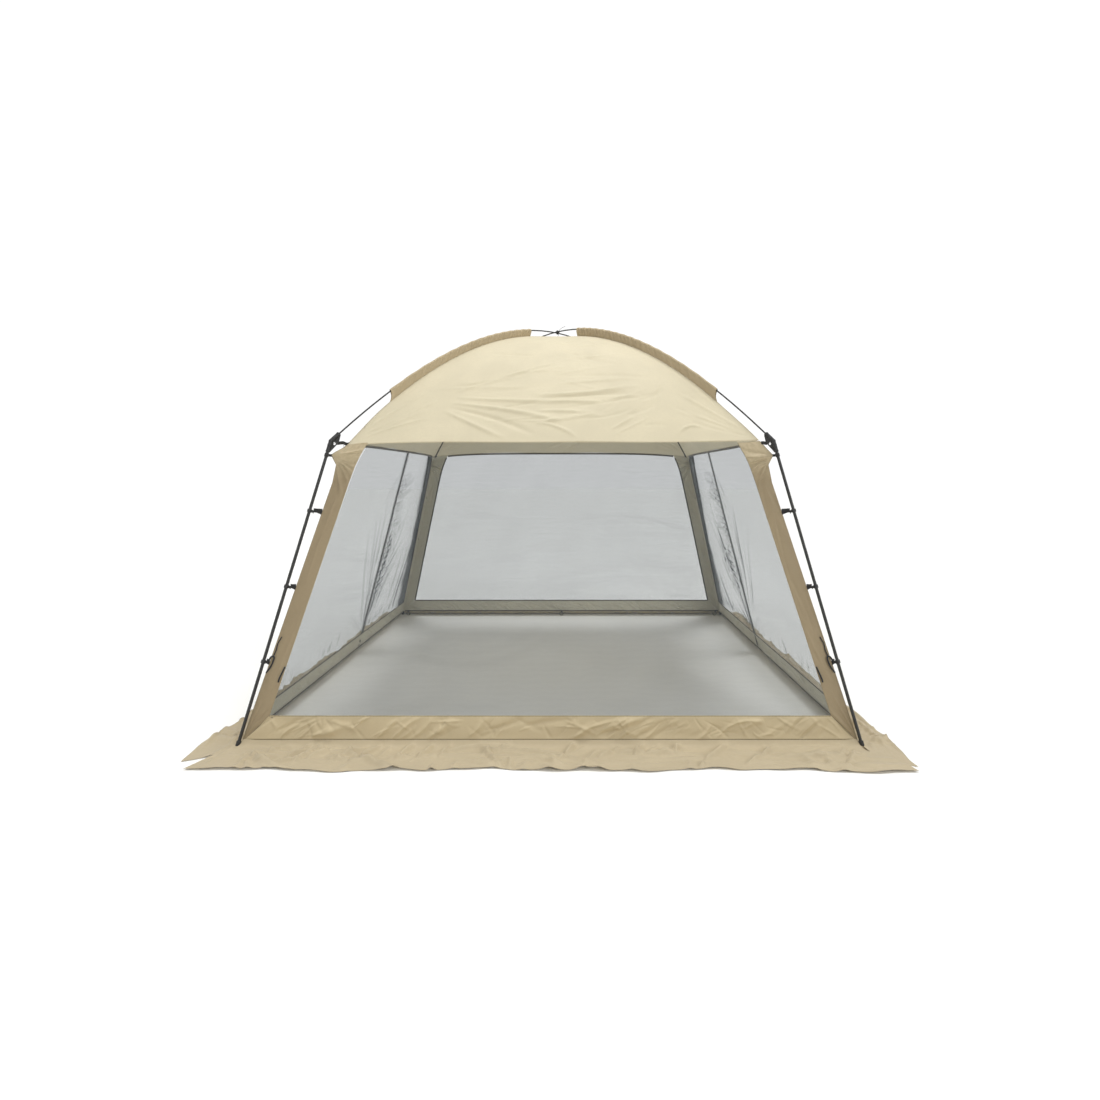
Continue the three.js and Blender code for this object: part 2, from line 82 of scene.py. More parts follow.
# Column: height, width of each face, and how far the corner is drawn out
COLUMN_LEVELS = np.array([
    (SEAM_Z, 0.008, 0.0),
    (0.148, 0.092, 0.0),
    (1.290, 0.090, 0.0),
    (1.385, 0.093, 0.010),
    (TIP_Z, 0.101, 0.043),
    (EAVE_Z, 0.118, 0.002),
])
CLIP_HEIGHTS = {"low": 0.400, "mid": 0.761, "top": 1.144}
WALL_TILT = math.atan2(BASE_HALF - EAVE_HALF, EAVE_Z - SEAM_Z)
CORNERS = {"front_left": 225, "front_right": 315, "back_right": 45, "back_left": 135}
SIDES = {"front": 0, "right": 90, "back": 180, "left": 270}

COATED_THICK = 0.0010
SEWN = 0.0008  # gap between pieces that are sewn together
BAND_THICK = 0.0012
BAND_INSIDE = 0.0045  # how far inside the wall its dark bindings run
ZIP_GAP = 0.0156  # from the zip's middle to the edge of the mesh beside it
MESH_ROWS = 130
WALL_COLUMNS = 90
HALF_COLUMNS = 190
CORD_POINTS = 24

FLOOR_REACH = 60
AMBIENT = 0.46
BACKDROP = 1.053
SOFTBOX_AT = (0.35, -0.35, 5.0)
SOFTBOX_SIZE = 1.1
SOFTBOX_POWER = 30
CAMERA_AT = (0.114, -4.647, 1.326)
CAMERA_LENS = 21.135
CAMERA_SHIFT = (-0.0213, -0.0675)
SUNS = {  # heading, height, strength, softness
    "overhead": (140, 84, 1.30, 18),
    "front": (32, 27, 0.85, 22),
    "right": (85, 36, 0.45, 60),
    "left": (-85, 36, 0.55, 60),
}


# --- Camera, light and floor ---------------------------------------------------------------


def make_camera():
    camera = bpy.data.objects.new("camera", bpy.data.cameras.new("camera"))
    bpy.context.scene.collection.objects.link(camera)
    camera.location = CAMERA_AT
    camera.rotation_euler = (math.pi / 2, 0, 0)
    camera.data.lens = CAMERA_LENS
    camera.data.sensor_width = 36
    camera.data.shift_x, camera.data.shift_y = CAMERA_SHIFT
    bpy.context.scene.camera = camera


def soft_sun(name, heading, height, strength, softness):
    """A far, broad lamp: the compass heading it shines from (0 is the front) and its height"""
    lamp = bpy.data.lights.new(name, "SUN")
    lamp.energy = strength
    lamp.angle = math.radians(softness)
    light = bpy.data.objects.new(name, lamp)
    bpy.context.scene.collection.objects.link(light)
    light.rotation_euler = (math.radians(90 - height), 0, math.radians(heading))


def make_studio():
    world = bpy.data.worlds.new("studio")
    world.use_nodes = True
    tree = world.node_tree
    ambient = tree.nodes["Background"]
    ambient.inputs["Strength"].default_value = AMBIENT
    backdrop = tree.nodes.new("ShaderNodeBackground")
    backdrop.inputs["Strength"].default_value = BACKDROP
    for node in (ambient, backdrop):
        node.inputs["Color"].default_value = (1, 1, 1, 1)
    seen = tree.nodes.new("ShaderNodeLightPath")
    chosen = tree.nodes.new("ShaderNodeMixShader")
    tree.links.new(seen.outputs["Is Camera Ray"], chosen.inputs["Fac"])
    tree.links.new(ambient.outputs[0], chosen.inputs[1])
    tree.links.new(backdrop.outputs[0], chosen.inputs[2])
    tree.links.new(chosen.outputs[0], tree.nodes["World Output"].inputs["Surface"])
    bpy.context.scene.world = world
    bpy.context.scene.view_settings.view_transform = "Standard"
    for name, setting in SUNS.items():
        soft_sun(name, *setting)
    lamp = bpy.data.lights.new("softbox", "AREA")
    lamp.size = SOFTBOX_SIZE
    lamp.energy = SOFTBOX_POWER
    softbox = bpy.data.objects.new("softbox", lamp)
    softbox.location = SOFTBOX_AT
    bpy.context.scene.collection.objects.link(softbox)

    floor_mesh = bpy.data.meshes.new("floor")
    far = FLOOR_REACH
    corners = [(-far, -far, 0), (far, -far, 0), (far, far, 0), (-far, far, 0)]
    floor_mesh.from_pydata(corners, [], [(0, 1, 2, 3)])
    floor = bpy.data.objects.new("floor", floor_mesh)
    bpy.context.scene.collection.objects.link(floor)
    floor.data.materials.append(plain_floor())


# --- Materials -----------------------------------------------------------------------------


class Shade:
    """Short ways to add nodes to one material"""

    def __init__(self, name):
        self.material = bpy.data.materials.new(name)
        self.material.use_nodes = True
        self.tree = self.material.node_tree
        self.surface = self.tree.nodes["Principled BSDF"]
        self.output = self.tree.nodes["Material Output"]

    def node(self, kind, **inputs):
        made = self.tree.nodes.new(kind)
        for key, value in inputs.items():
            self.put(made.inputs[key.replace("_", " ")], value)
        return made

    def put(self, socket, value):
        if isinstance(value, bpy.types.NodeSocket):
            self.tree.links.new(value, socket)
        else:
            socket.default_value = value

    def cloth_place(self):
        """Position on the flat cloth, in metres; z is the distance to its hem or seam, and on the mesh how
        bunched it is, which also sets its painted shade
        """
        made = self.tree.nodes.new("ShaderNodeAttribute")
        made.attribute_name = "cloth"
        return made.outputs["Vector"]

    def own_place(self):
        return self.tree.nodes.new("ShaderNodeTexCoord").outputs["Object"]

    def noise(self, place, scale, detail=3.0):
        made = self.node("ShaderNodeTexNoise", Vector=place, Scale=scale, Detail=detail)
        return made.outputs["Fac"]

    def bands(self, place, scale, direction, distortion=0.0):
        made = self.node("ShaderNodeTexWave", Vector=place, Scale=scale, Distortion=distortion)
        made.bands_direction = direction
        return made.outputs["Fac"]

    def sum(self, first, second, how="ADD"):
        made = self.tree.nodes.new("ShaderNodeMath")
        made.operation = how
        self.put(made.inputs[0], first)
        self.put(made.inputs[1], second)
        return made.outputs[0]

    def fit(self, value, low, high, to_low, to_high):
        """The value's range from low to high, moved to another range and kept inside it"""
        made = self.node("ShaderNodeMapRange", Value=value)
        limits = {"From Min": low, "From Max": high, "To Min": to_low, "To Max": to_high}
        for key, number in limits.items():
            made.inputs[key].default_value = number
        return made.outputs["Result"]

    def blend_colour(self, share, first, second):
        made = self.tree.nodes.new("ShaderNodeMix")
        made.data_type = "RGBA"
        self.put(made.inputs[0], share)
        self.put(made.inputs[6], first)
        self.put(made.inputs[7], second)
        return made.outputs[2]

    def bump(self, height, strength, distance):
        made = self.node("ShaderNodeBump", Height=height, Strength=strength, Distance=distance)
        self.put(self.surface.inputs["Normal"], made.outputs["Normal"])

    def mix_surface(self, share, first, second):
        mixed = self.node("ShaderNodeMixShader", Fac=share)
        self.tree.links.new(first, mixed.inputs[1])
        self.tree.links.new(second, mixed.inputs[2])
        self.tree.links.new(mixed.outputs[0], self.output.inputs["Surface"])

    def split(self, vector):
        return self.node("ShaderNodeSeparateXYZ", Vector=vector)

    def paint(self, colour, roughness):
        self.put(self.surface.inputs["Base Color"], colour)
        self.put(self.surface.inputs["Roughness"], roughness)


def toned(colour, share):
    return (colour[0] * share, colour[1] * share, colour[2] * share, 1)


def plain_floor():
    shade = Shade("studio_floor")
    place = shade.own_place()
    patches = shade.fit(shade.noise(place, 0.9), 0.35, 0.65, 0, 1)
    colour = shade.blend_colour(patches, (0.94, 0.94, 0.92, 1), (0.92, 0.92, 0.895, 1))
    grain = shade.noise(place, 260)
    shade.paint(colour, shade.fit(grain, 0.3, 0.7, 0.75, 0.9))
    shade.bump(grain, 0.15, 0.001)
    return shade.material


def fabric(
    name, colour, through=0.1, sheen=0.15, gloss=0.35, hem=None, hem_wide=0.0065, painted_light_top=None,
):
    """Plain-weave polyester. through: the share of light that it lets through;
    hem: a colour for the stitched line along the hem; the top colour: painted light, a lighter colour above the
    column's shaft where its flared top faces up"""
    shade = Shade(name)
    place = shade.cloth_place()
    parts = shade.split(place)
    patches = shade.noise(place, 3.5)
    mottle = shade.noise(place, 55, 5)
    weft = shade.bands(place, 260, "X", 0.6)
    warp = shade.bands(place, 260, "Y", 0.6)
    weave = shade.sum(weft, warp, "MULTIPLY")
    tint = shade.blend_colour(
        shade.fit(patches, 0.35, 0.65, 0, 1), toned(colour, 0.955), toned(colour, 1.035)
    )
    # painted light: the column's top, above its shaft, takes a lighter colour where its flared tip faces the
    # light
    if painted_light_top is not None:
        above = shade.fit(parts.outputs["Y"], 1.30, 1.44, 0, 1)
        tint = shade.blend_colour(above, tint, (*painted_light_top, 1))
    tint = shade.blend_colour(shade.fit(mottle, 0.35, 0.7, 0, 0.35), tint, toned(colour, 0.93))
    tint = shade.blend_colour(shade.fit(weave, 0, 1, 0.16, 0), tint, toned(colour, 0.72))
    height = shade.sum(shade.fit(weave, 0, 1, 0, 0.25), mottle)
    if hem is not None:
        stitch = shade.fit(shade.bands(place, 45, "X", 1.5), 0.15, 0.45, 0, 1)
        line = shade.fit(parts.outputs["Z"], hem_wide - 0.0025, hem_wide, 1, 0)
        tint = shade.blend_colour(shade.sum(stitch, line, "MULTIPLY"), tint, hem)
        height = shade.sum(height, shade.fit(parts.outputs["Z"], 0.012, 0.015, 1.5, 0))
    shade.paint(tint, shade.fit(mottle, 0.3, 0.7, 0.56, 0.72))
    shade.surface.inputs["Sheen Weight"].default_value = sheen
    shade.surface.inputs["Sheen Roughness"].default_value = 0.45
    shade.surface.inputs["Specular IOR Level"].default_value = gloss
    shade.bump(height, 0.3, 0.0006)
    glow = shade.node("ShaderNodeBsdfTranslucent", Color=tint)
    shade.mix_surface(through, shade.surface.outputs[0], glow.outputs[0])
    return shade.material


def netting(name, cover, colour):
    """Insect mesh: dark threads over a share of the view, thicker where it is bunched, and darkened there as
    painted shade
    """
    shade = Shade(name)
    place = shade.cloth_place()
    bunching_and_shade = shade.split(place).outputs["Z"]
    threads = shade.sum(
        shade.bands(place, 75, "X", 0.4), shade.bands(place, 75, "Y", 0.4), "MAXIMUM"
    )
    share = shade.fit(threads, 0, 1, cover - 0.05, cover + 0.05)
    shimmer = shade.fit(shade.bands(place, 11, "Y", 7.0), 0, 1, -0.006, 0.006)
    share = shade.sum(share, shimmer)
    share = shade.sum(share, shade.fit(bunching_and_shade, 0, 1, 0, 0.62))
    drift = shade.fit(shade.noise(place, 4.5, 4), 0.3, 0.7, 0, 1)
    tint = shade.blend_colour(drift, toned(colour, 0.85), toned(colour, 1.1))
    # painted shade: where the mesh is bunched, its threads are darkened far below their own colour
    tint = shade.blend_colour(shade.fit(bunching_and_shade, 0, 0.8, 0, 1), tint, toned(colour, 0.22))
    shade.paint(tint, shade.fit(threads, 0, 1, 0.9, 0.75))
    shade.bump(threads, 0.2, 0.0005)
    clear = shade.node("ShaderNodeBsdfTransparent", Color=(0.988, 0.997, 1.0, 1))
    shade.mix_surface(share, clear.outputs[0], shade.surface.outputs[0])
    return shade.material


def webbing(name, colour, pitch=420):
    """Ribbed tape or twisted cord with a little fuzz"""
    shade = Shade(name)
    place = shade.own_place()
    ribs = shade.bands(place, pitch, "DIAGONAL", 0.3)
    fuzz = shade.noise(place, 700, 4)
    tint = shade.blend_colour(ribs, toned(colour, 0.7), toned(colour, 1.5))
    tint = shade.blend_colour(shade.fit(fuzz, 0.45, 0.75, 0, 0.5), tint, toned(colour, 2.6))
    shade.paint(tint, shade.fit(fuzz, 0.3, 0.7, 0.75, 0.95))
    shade.surface.inputs["Sheen Weight"].default_value = 0.3
    shade.bump(ribs, 0.5, 0.0005)
    return shade.material


def moulded(name, colour, rough=0.5):
    """Black nylon with a fine grain and rubbed edges"""
    shade = Shade(name)
    place = shade.own_place()
    grain = shade.noise(place, 900, 3)
    worn = shade.noise(place, 38, 5)
    rubbed = shade.fit(worn, 0.55, 0.75, 0, 0.6)
    tint = shade.blend_colour(rubbed, toned(colour, 1), toned(colour, 2.2))
    shade.paint(tint, shade.fit(worn, 0.3, 0.7, rough - 0.08, rough + 0.12))
    shade.bump(grain, 0.25, 0.0003)
    return shade.material


def painted_tube(name, colour, rough):
    """Paint on a tube or a cured rod: long faint streaks along it, and scuffs"""
    shade = Shade(name)
    place = shade.own_place()
    stretched = shade.node("ShaderNodeMapping", Vector=place)
    stretched.inputs["Scale"].default_value = (90, 90, 4)
    streaks = shade.noise(stretched.outputs[0], 1.0, 4)
    scuffs = shade.noise(place, 24, 6)
    faint = shade.fit(streaks, 0.4, 0.7, 0, 0.4)
    tint = shade.blend_colour(faint, toned(colour, 1), toned(colour, 1.5))
    tint = shade.blend_colour(shade.fit(scuffs, 0.62, 0.75, 0, 0.2), tint, (0.10, 0.10, 0.097, 1))
    shade.paint(tint, shade.fit(scuffs, 0.3, 0.7, rough - 0.07, rough + 0.15))
    shade.surface.inputs["Coat Weight"].default_value = 0.2
    shade.surface.inputs["Coat Roughness"].default_value = 0.35
    shade.bump(streaks, 0.08, 0.0003)
    return shade.material


def zip_coil(name, colour):
    """Zip: fine teeth across its length"""
    shade = Shade(name)
    place = shade.cloth_place()
    teeth = shade.bands(place, 190, "Y")
    fuzz = shade.noise(place, 500, 3)
    tint = shade.blend_colour(teeth, toned(colour, 0.6), toned(colour, 1.6))
    shade.paint(tint, shade.fit(fuzz, 0.3, 0.7, 0.55, 0.8))
    shade.bump(teeth, 0.6, 0.0006)
    return shade.material


# --- Geometry helpers ----------------------------------------------------------------------


def turn(points, degrees):
    """Points turned about the upright axis"""
    angle = math.radians(degrees)
    points = np.asarray(points, float)
    x, y = points[..., 0], points[..., 1]
    turned = points.copy()
    turned[..., 0] = x * math.cos(angle) - y * math.sin(angle)
    turned[..., 1] = x * math.sin(angle) + y * math.cos(angle)
    return turned


def new_piece(name, vertices, faces, body, materials):
    mesh = bpy.data.meshes.new(name)
    mesh.from_pydata([tuple(v) for v in vertices], [], faces)
    mesh.polygons.foreach_set("use_smooth", [True] * len(mesh.polygons))
    for material in materials:
        mesh.materials.append(material)
    piece = bpy.data.objects.new(name, mesh)
    bpy.context.scene.collection.objects.link(piece)
    if body:  # a piece that bends between two bodies rides on none
        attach(piece, body)
    return piece


def travelled(points):
    """How far each point of a path lies along it"""
    steps = np.linalg.norm(np.diff(points, axis=0), axis=1)
    return np.concatenate([[0], np.cumsum(steps)])


def grid_faces(rows, columns, closed):
    faces = []
    last = columns if closed else columns - 1
    for row in range(rows - 1):
        for column in range(last):
            a = row * columns + column
            b = row * columns + (column + 1) % columns
            faces.append((a, b, b + columns, a + columns))
    return faces


def mark_cloth(piece, flat, extra):
    """Stores each point's place on the flat cloth, and one more number beside it"""
    place = np.dstack([flat[..., 0], flat[..., 1], extra]).reshape(-1, 3)
    attribute = piece.data.attributes.new("cloth", "FLOAT_VECTOR", "POINT")
    attribute.data.foreach_set("vector", place.astype(np.float32).ravel())


def cloth(name, points, flat, extra, materials, closed=False):
    """A sheet of cloth through a grid of points. A second material is its coated inside"""
    rows, columns = points.shape[:2]
    piece = new_piece(
        name, points.reshape(-1, 3), grid_faces(rows, columns, closed), "root", materials
    )
    mark_cloth(piece, flat, extra)
    if len(materials) > 1:
        shell = piece.modifiers.new("coating", "SOLIDIFY")
        shell.thickness = COATED_THICK
        shell.offset = -1
        shell.material_offset = 1
    return piece


def normals(points):
    """Unit normals of a grid of points"""
    down = np.gradient(points, axis=0)
    across = np.gradient(points, axis=1)
    normal = np.cross(across, down)
    return normal / np.maximum(np.linalg.norm(normal, axis=-1, keepdims=True), 1e-12)


def smooth_step(value, low, high):
    share = np.clip((value - low) / (high - low), 0, 1)
    return share * share * (3 - 2 * share)


def folds(flat, strokes):
    """Height of the cloth over its flat place. A stroke is one fold: where it starts and ends,
    its half width, its height and how far it bows"""
    height = np.zeros(flat.shape[:2])
    for u0, v0, u1, v1, width, rise, bow in strokes:
        run = np.array([u1 - u0, v1 - v0])
        length = np.linalg.norm(run)
        run = run / length
        du, dv = flat[..., 0] - u0, flat[..., 1] - v0
        along = (du * run[0] + dv * run[1]) / length
        aside = dv * run[0] - du * run[1] - bow * 4 * along * (1 - along)
        fade = np.clip(np.sin(np.pi * np.clip(along, 0, 1)), 0, 1) ** 0.6
        reach = width * (0.55 + 0.75 * np.clip(along, 0, 1))
        height += rise * fade * np.exp(-((aside / reach) ** 2))
    return height


def fan(rng, centre, angles, length, count, width, rise, start=0.04):
    """Folds that spread from a point"""
    strokes = []
    for angle in np.linspace(*np.radians(angles), count):
        angle += rng.normal(0, 0.035)
        far = length * rng.uniform(0.65, 1.15)
        near = start + rng.uniform(0, 0.12) * length
        strokes.append((
            centre[0] + near * math.cos(angle), centre[1] + near * math.sin(angle),
            centre[0] + far * math.cos(angle), centre[1] + far * math.sin(angle),
            width * rng.uniform(0.7, 1.3), rise * rng.choice([-0.8, 1]) * rng.uniform(0.6, 1.2),
            rng.normal(0, 0.02) * length,
        ))
    return strokes


def scatter(rng, low, high, angle, spread, length, count, width, rise):
    """Folds strewn over a rectangle of cloth"""
    strokes = []
    for _ in range(count):
        u, v = rng.uniform(low[0], high[0]), rng.uniform(low[1], high[1])
        slope = math.radians(rng.normal(angle, spread))
        half = length * rng.uniform(0.5, 1.4) / 2
        du, dv = half * math.cos(slope), half * math.sin(slope)
        strokes.append((
            u - du, v - dv, u + du, v + dv, width * rng.uniform(0.6, 1.4),
            rise * rng.choice([-0.9, 1]) * rng.uniform(0.4, 1.2), rng.normal(0, 0.06) * length,
        ))
    return strokes


def ripple(flat, rng, size, rise, count=5):
    """Soft swells over the whole cloth"""
    height = np.zeros(flat.shape[:2])
    for _ in range(count):
        angle = rng.uniform(0, 2 * math.pi)
        pitch = size * rng.uniform(0.7, 1.6)
        shift = rng.uniform(0, 2 * math.pi)
        travel = flat[..., 0] * math.cos(angle) + flat[..., 1] * math.sin(angle)
        height += rise * np.sin(travel * 2 * math.pi / pitch + shift) / count
    return height


def ribbon(name, path, side, width, thick, materials, body="root"):
    """A flat band along a path. side: the direction of its width at each point"""
    path = np.asarray(path, float)
    side = np.broadcast_to(np.asarray(side, float), path.shape)
    side = side / np.linalg.norm(side, axis=1, keepdims=True)
    run = np.gradient(path, axis=0)
    face = np.cross(run, side)
    face = face / np.linalg.norm(face, axis=1, keepdims=True)
    edge = side * width / 2
    lift = face * thick / 2
    ring = [-edge - lift, -edge + lift, -edge * 0.4 + lift * 1.25, edge * 0.4 + lift * 1.25]
    ring += [edge + lift, edge - lift]
    points = np.stack([path + offset for offset in ring], axis=1)
    faces = grid_faces(len(path), len(ring), True)
    faces.append(tuple(reversed(range(len(ring)))))
    faces.append(tuple(range((len(path) - 1) * len(ring), len(path) * len(ring))))
    piece = new_piece(name, points.reshape(-1, 3), faces, body, materials)
    across = np.linspace(-width, width, len(ring))
    flat = np.dstack(np.broadcast_arrays(across[None, :], travelled(path)[:, None]))
    mark_cloth(piece, flat, np.zeros(flat.shape[:2]))
    return piece


def smooth_path(points, count):
    """Points along a Catmull-Rom curve through the given ones, evenly spaced"""
    points = np.asarray(points, float)
    ends = [2 * points[0] - points[1], *points, 2 * points[-1] - points[-2]]
    fine = []
    for i in range(1, len(ends) - 2):
        a, b, c, d = ends[i - 1:i + 3]
        for t in np.linspace(0, 1, 24, endpoint=False):
            fine.append(0.5 * (2 * b + (c - a) * t + (2 * a - 5 * b + 4 * c - d) * t**2
                               + (3 * b - a - 3 * c + d) * t**3))
    fine = np.array([*fine, points[-1]])
    travel = travelled(fine)
    even = np.linspace(0, travel[-1], count)
    return np.column_stack([np.interp(even, travel, fine[:, axis]) for axis in range(3)])


def path_length(points):
    return float(np.linalg.norm(np.diff(points, axis=0), axis=1).sum())


def tube(name, path, radius, material, body="root", sides=10):
    """A round rod or cord along a path, its ends closed"""
    path = np.asarray(path, float)
    run = np.gradient(path, axis=0)
    run /= np.linalg.norm(run, axis=1, keepdims=True)
    guide = Vector((0, 0, 1)) if abs(run[0][2]) < 0.9 else Vector((1, 0, 0))
    side = Vector(run[0]).cross(guide).normalized()
    rings = []
    for point, along in zip(path, run):
        along = Vector(along)
        side = (side - along * side.dot(along)).normalized()
        up = along.cross(side)
        for k in range(sides):
            angle = 2 * math.pi * k / sides
            rings.append(Vector(point) + radius * (math.cos(angle) * side + math.sin(angle) * up))
    faces = grid_faces(len(path), sides, True)
    faces.append(tuple(reversed(range(sides))))
    faces.append(tuple(range(len(rings) - sides, len(rings))))
    return new_piece(name, rings, faces, body, [material])


def free_cord(name, knots, radius, material):
    path = smooth_path(knots, CORD_POINTS)
    piece = tube(name, path, radius, material)
    path_length(path)


# --- The screen house's own shape ----------------------------------------------------------


def wall_half(z):
    """Half the width between two opposite walls"""
    return BASE_HALF - (BASE_HALF - EAVE_HALF) * (z - SEAM_Z) / (EAVE_Z - SEAM_Z)


def roof_height(half):
    """Height of the dome where its square is this far from the middle"""
    return EAVE_Z + (CROWN_Z - EAVE_Z) * (1 - (half / EAVE_HALF) ** 2)


def arm_width(z):
    return np.interp(z, COLUMN_LEVELS[:, 0], COLUMN_LEVELS[:, 1])


def corner_pull(z):
    return np.interp(z, COLUMN_LEVELS[:, 0], COLUMN_LEVELS[:, 2])


def pole_height(d, lift):
    """Centre line of a roof pole, by distance from the middle"""
    t = d / ELBOW_D
    rise = POLE_CROWN_Z + lift - ELBOW_Z
    return ELBOW_Z + rise * (1 - (1 + POLE_FLATTENING) * t**2 + POLE_FLATTENING * t**4)


def pole_lift(corner):
    return 0 if CORNERS[corner] % 180 == 45 else POLE_CROSSING


def up_slope(z):
    """Distance up the sloping wall from its seam"""
    return (z - SEAM_Z) / math.cos(WALL_TILT)


def on_wall(x, z, out=0.0):
    """A point of the front wall's outer face, moved out of it"""
    x, z, out = np.broadcast_arrays(x, z, out)
    y = -wall_half(z) - out * math.cos(WALL_TILT)
    return np.stack([x, y, z + out * math.sin(WALL_TILT)], axis=-1)


def along_leg(z):
    """The leg's centre line: distance from the middle at a height"""
    return FOOT_D - z * math.tan(LEAN)


# --- Roof ----------------------------------------------------------------------------------

ROOF_ROWS = 160
GORE_COLUMNS = 220
# How far each corner of the eave is pulled up; most of them hang below its middle
CORNER_LIFT = {
    "front_left": -0.017, "front_right": 0.010, "back_right": -0.017, "back_left": -0.017,
}
SIDE_ENDS = {
    "front": ("front_left", "front_right"),
    "right": ("front_right", "back_right"),
    "back": ("back_right", "back_left"),
    "left": ("back_left", "front_left"),
}
BACK_RISE = 0.020  # the middle of the back eave is drawn up this far


# Long folds of the front gore: from (u, v) to (u, v), half width; and how high
FRONT_FOLDS = [
    ((-0.58, 0.385, 0.05, 0.72, 0.014), 0.0085),
    ((-0.54, 0.44, -0.02, 0.67, 0.012), -0.0060),
    ((-0.56, 0.345, 0.10, 0.31, 0.013), 0.0090),
    ((-0.58, 0.30, 0.06, 0.15, 0.015), 0.0105),
    ((-0.60, 0.26, -0.10, 0.05, 0.015), -0.0080),
    ((-0.62, 0.235, -0.24, 0.01, 0.014), 0.0085),
    ((-0.10, 0.37, 0.50, 0.45, 0.014), 0.0095),
    ((-0.12, 0.335, 0.42, 0.38, 0.010), -0.0070),
    ((-0.10, 0.305, 0.28, 0.305, 0.011), 0.0100),
    ((-0.10, 0.23, 0.24, 0.215, 0.012), 0.0080),
    ((0.02, 0.47, 0.46, 0.52, 0.011), 0.0060),
    ((-0.10, 0.14, 0.15, 0.01, 0.011), 0.0070),
    ((0.33, 0.09, 0.45, 0.19, 0.010), 0.0070),
    ((0.69, 0.045, 0.83, 0.105, 0.008), 0.0090),
]


def eave_rise(side, share):
    """How far the eave is above its own level, along one side"""
    first, last = (CORNER_LIFT[corner] for corner in SIDE_ENDS[side])
    rise = np.where(share < 0, first, last) * np.abs(share) ** 5
    return rise + (BACK_RISE * (1 - np.abs(share) ** 4) if side == "back" else 0)


def roof_strokes(side, rng):
    """Folds of one gore: u across it, v up from the eave"""
    strokes = fan(rng, (-1.14, 0.0), (24, 58), 0.50, 10, 0.0085, 0.0062)
    strokes += fan(rng, (1.14, 0.0), (156, 122), 0.50, 10, 0.0085, 0.0062)
    strokes += fan(rng, (-1.17, 0.0), (26, 66), 0.30, 9, 0.0058, 0.0095, start=0.01)
    strokes += fan(rng, (1.17, 0.0), (154, 114), 0.30, 9, 0.0058, 0.0095, start=0.01)
    strokes += scatter(rng, (-0.40, 0.68), (0.40, 1.22), 0, 12, 0.34, 26, 0.010, 0.0036)
    if side == "front":
        strokes += [(*fold, rise, rng.normal(0, 0.012)) for fold, rise in FRONT_FOLDS]
        strokes += scatter(rng, (-0.55, 0.15), (0.45, 0.62), 6, 9, 0.50, 16, 0.010, 0.0042)
        strokes += scatter(rng, (0.30, 0.10), (0.90, 0.50), 28, 16, 0.24, 12, 0.010, 0.0036)
        return strokes
    focus = rng.uniform(0.45, 0.7) * rng.choice([-1, 1])
    spread = (145, 215) if focus > 0 else (-35, 35)
    strokes += fan(rng, (focus, 0.38), spread, 0.8, 12, 0.017, 0.0110)
    strokes += scatter(rng, (-0.8, 0.1), (0.8, 0.7), 0, 22, 0.35, 18, 0.014, 0.0050)
    return strokes


def roof_gore(side):
    rng = np.random.default_rng(100 + SIDES[side])
    down = np.sin(np.linspace(0, math.pi / 2, ROOF_ROWS))
    half = (0.004 + (EAVE_HALF - 0.004) * down)[:, None]
    share = np.linspace(-1, 1, GORE_COLUMNS + 1)[None, :]
    x = half * share
    y = np.broadcast_to(-half, x.shape)
    z = np.broadcast_to(roof_height(half), x.shape)
    points = np.stack([x, y, z], axis=-1)
    steps = np.hypot(np.diff(half[:, 0]), np.diff(roof_height(half[:, 0])))
    from_crown = np.concatenate([[0], np.cumsum(steps)])
    up = (from_crown[-1] - from_crown)[:, None]
    flat = np.stack(np.broadcast_arrays(x, up), axis=-1)

    height = folds(flat, roof_strokes(side, rng)) + ripple(flat, rng, 0.7, 0.006)
    held = (1 - np.abs(share) ** 6) * smooth_step(up, -0.02, 0.10) * smooth_step(half, 0.03, 0.35)
    held = np.maximum(held, 0.35 * (1 - np.abs(share) ** 14) * smooth_step(half, 0.4, 0.8))
    slack = 0.010 * (1 - share**2) * np.sin(np.clip(half / EAVE_HALF, 0, 1) * math.pi) ** 2
    out = normals(points)
    out *= np.sign(out[..., 2:3] + 1e-9)
    points = points + out * (height * held - slack)[..., None]
    near_edge = smooth_step(half / EAVE_HALF, 0.86, 1.0)
    wave = 0.0022 * np.sin(9 * share + SIDES[side]) * (1 - share**2)
    points[..., 2] += near_edge * (eave_rise(side, share) + wave + 0.002)
    to_edge = np.minimum(up, half * (1 - np.abs(share)))
    return points, flat, np.broadcast_to(to_edge, x.shape)


def make_roof():
    gores = [roof_gore(side) for side in SIDES]
    rings, flats, edges = [], [], []
    for (points, flat, edge), degrees in zip(gores, SIDES.values()):
        rings.append(turn(points, degrees)[:, :-1])
        flats.append((flat + [degrees * 0.03, 0])[:, :-1])
        edges.append(edge[:, :-1])
    piece = cloth(
        "roof_cloth", np.concatenate(rings, axis=1)[::-1], np.concatenate(flats, axis=1)[::-1],
        np.concatenate(edges, axis=1)[::-1], [ROOF], closed=True,
    )
    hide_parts("roof_canopy")
    halves = np.linspace(0.004, EAVE_HALF, 200)
    steps = np.hypot(np.diff(halves), np.diff(roof_height(halves)))
    area = float((8 * halves[:-1] * steps).sum())
    2 * steps.sum()
    2 * steps.sum()


def make_roof_seams():
    """Dark tape inside the roof under each diagonal seam"""
    for corner, degrees in CORNERS.items():
        d = np.linspace(0.06, ROOT2 * EAVE_HALF - 0.02, 40)
        path = np.column_stack([d, 0 * d, roof_height(d / ROOT2) - 0.007])
        path[:, 2] += CORNER_LIFT[corner] * smooth_step(d / (ROOT2 * EAVE_HALF), 0.86, 1.0)
        tape = ribbon(
            f"roof_seam_tape_{corner}", turn(path, degrees), turn([[0, 1, 0]], degrees),
            0.014, 0.0008, [BINDING],
        )
        path_length(path)


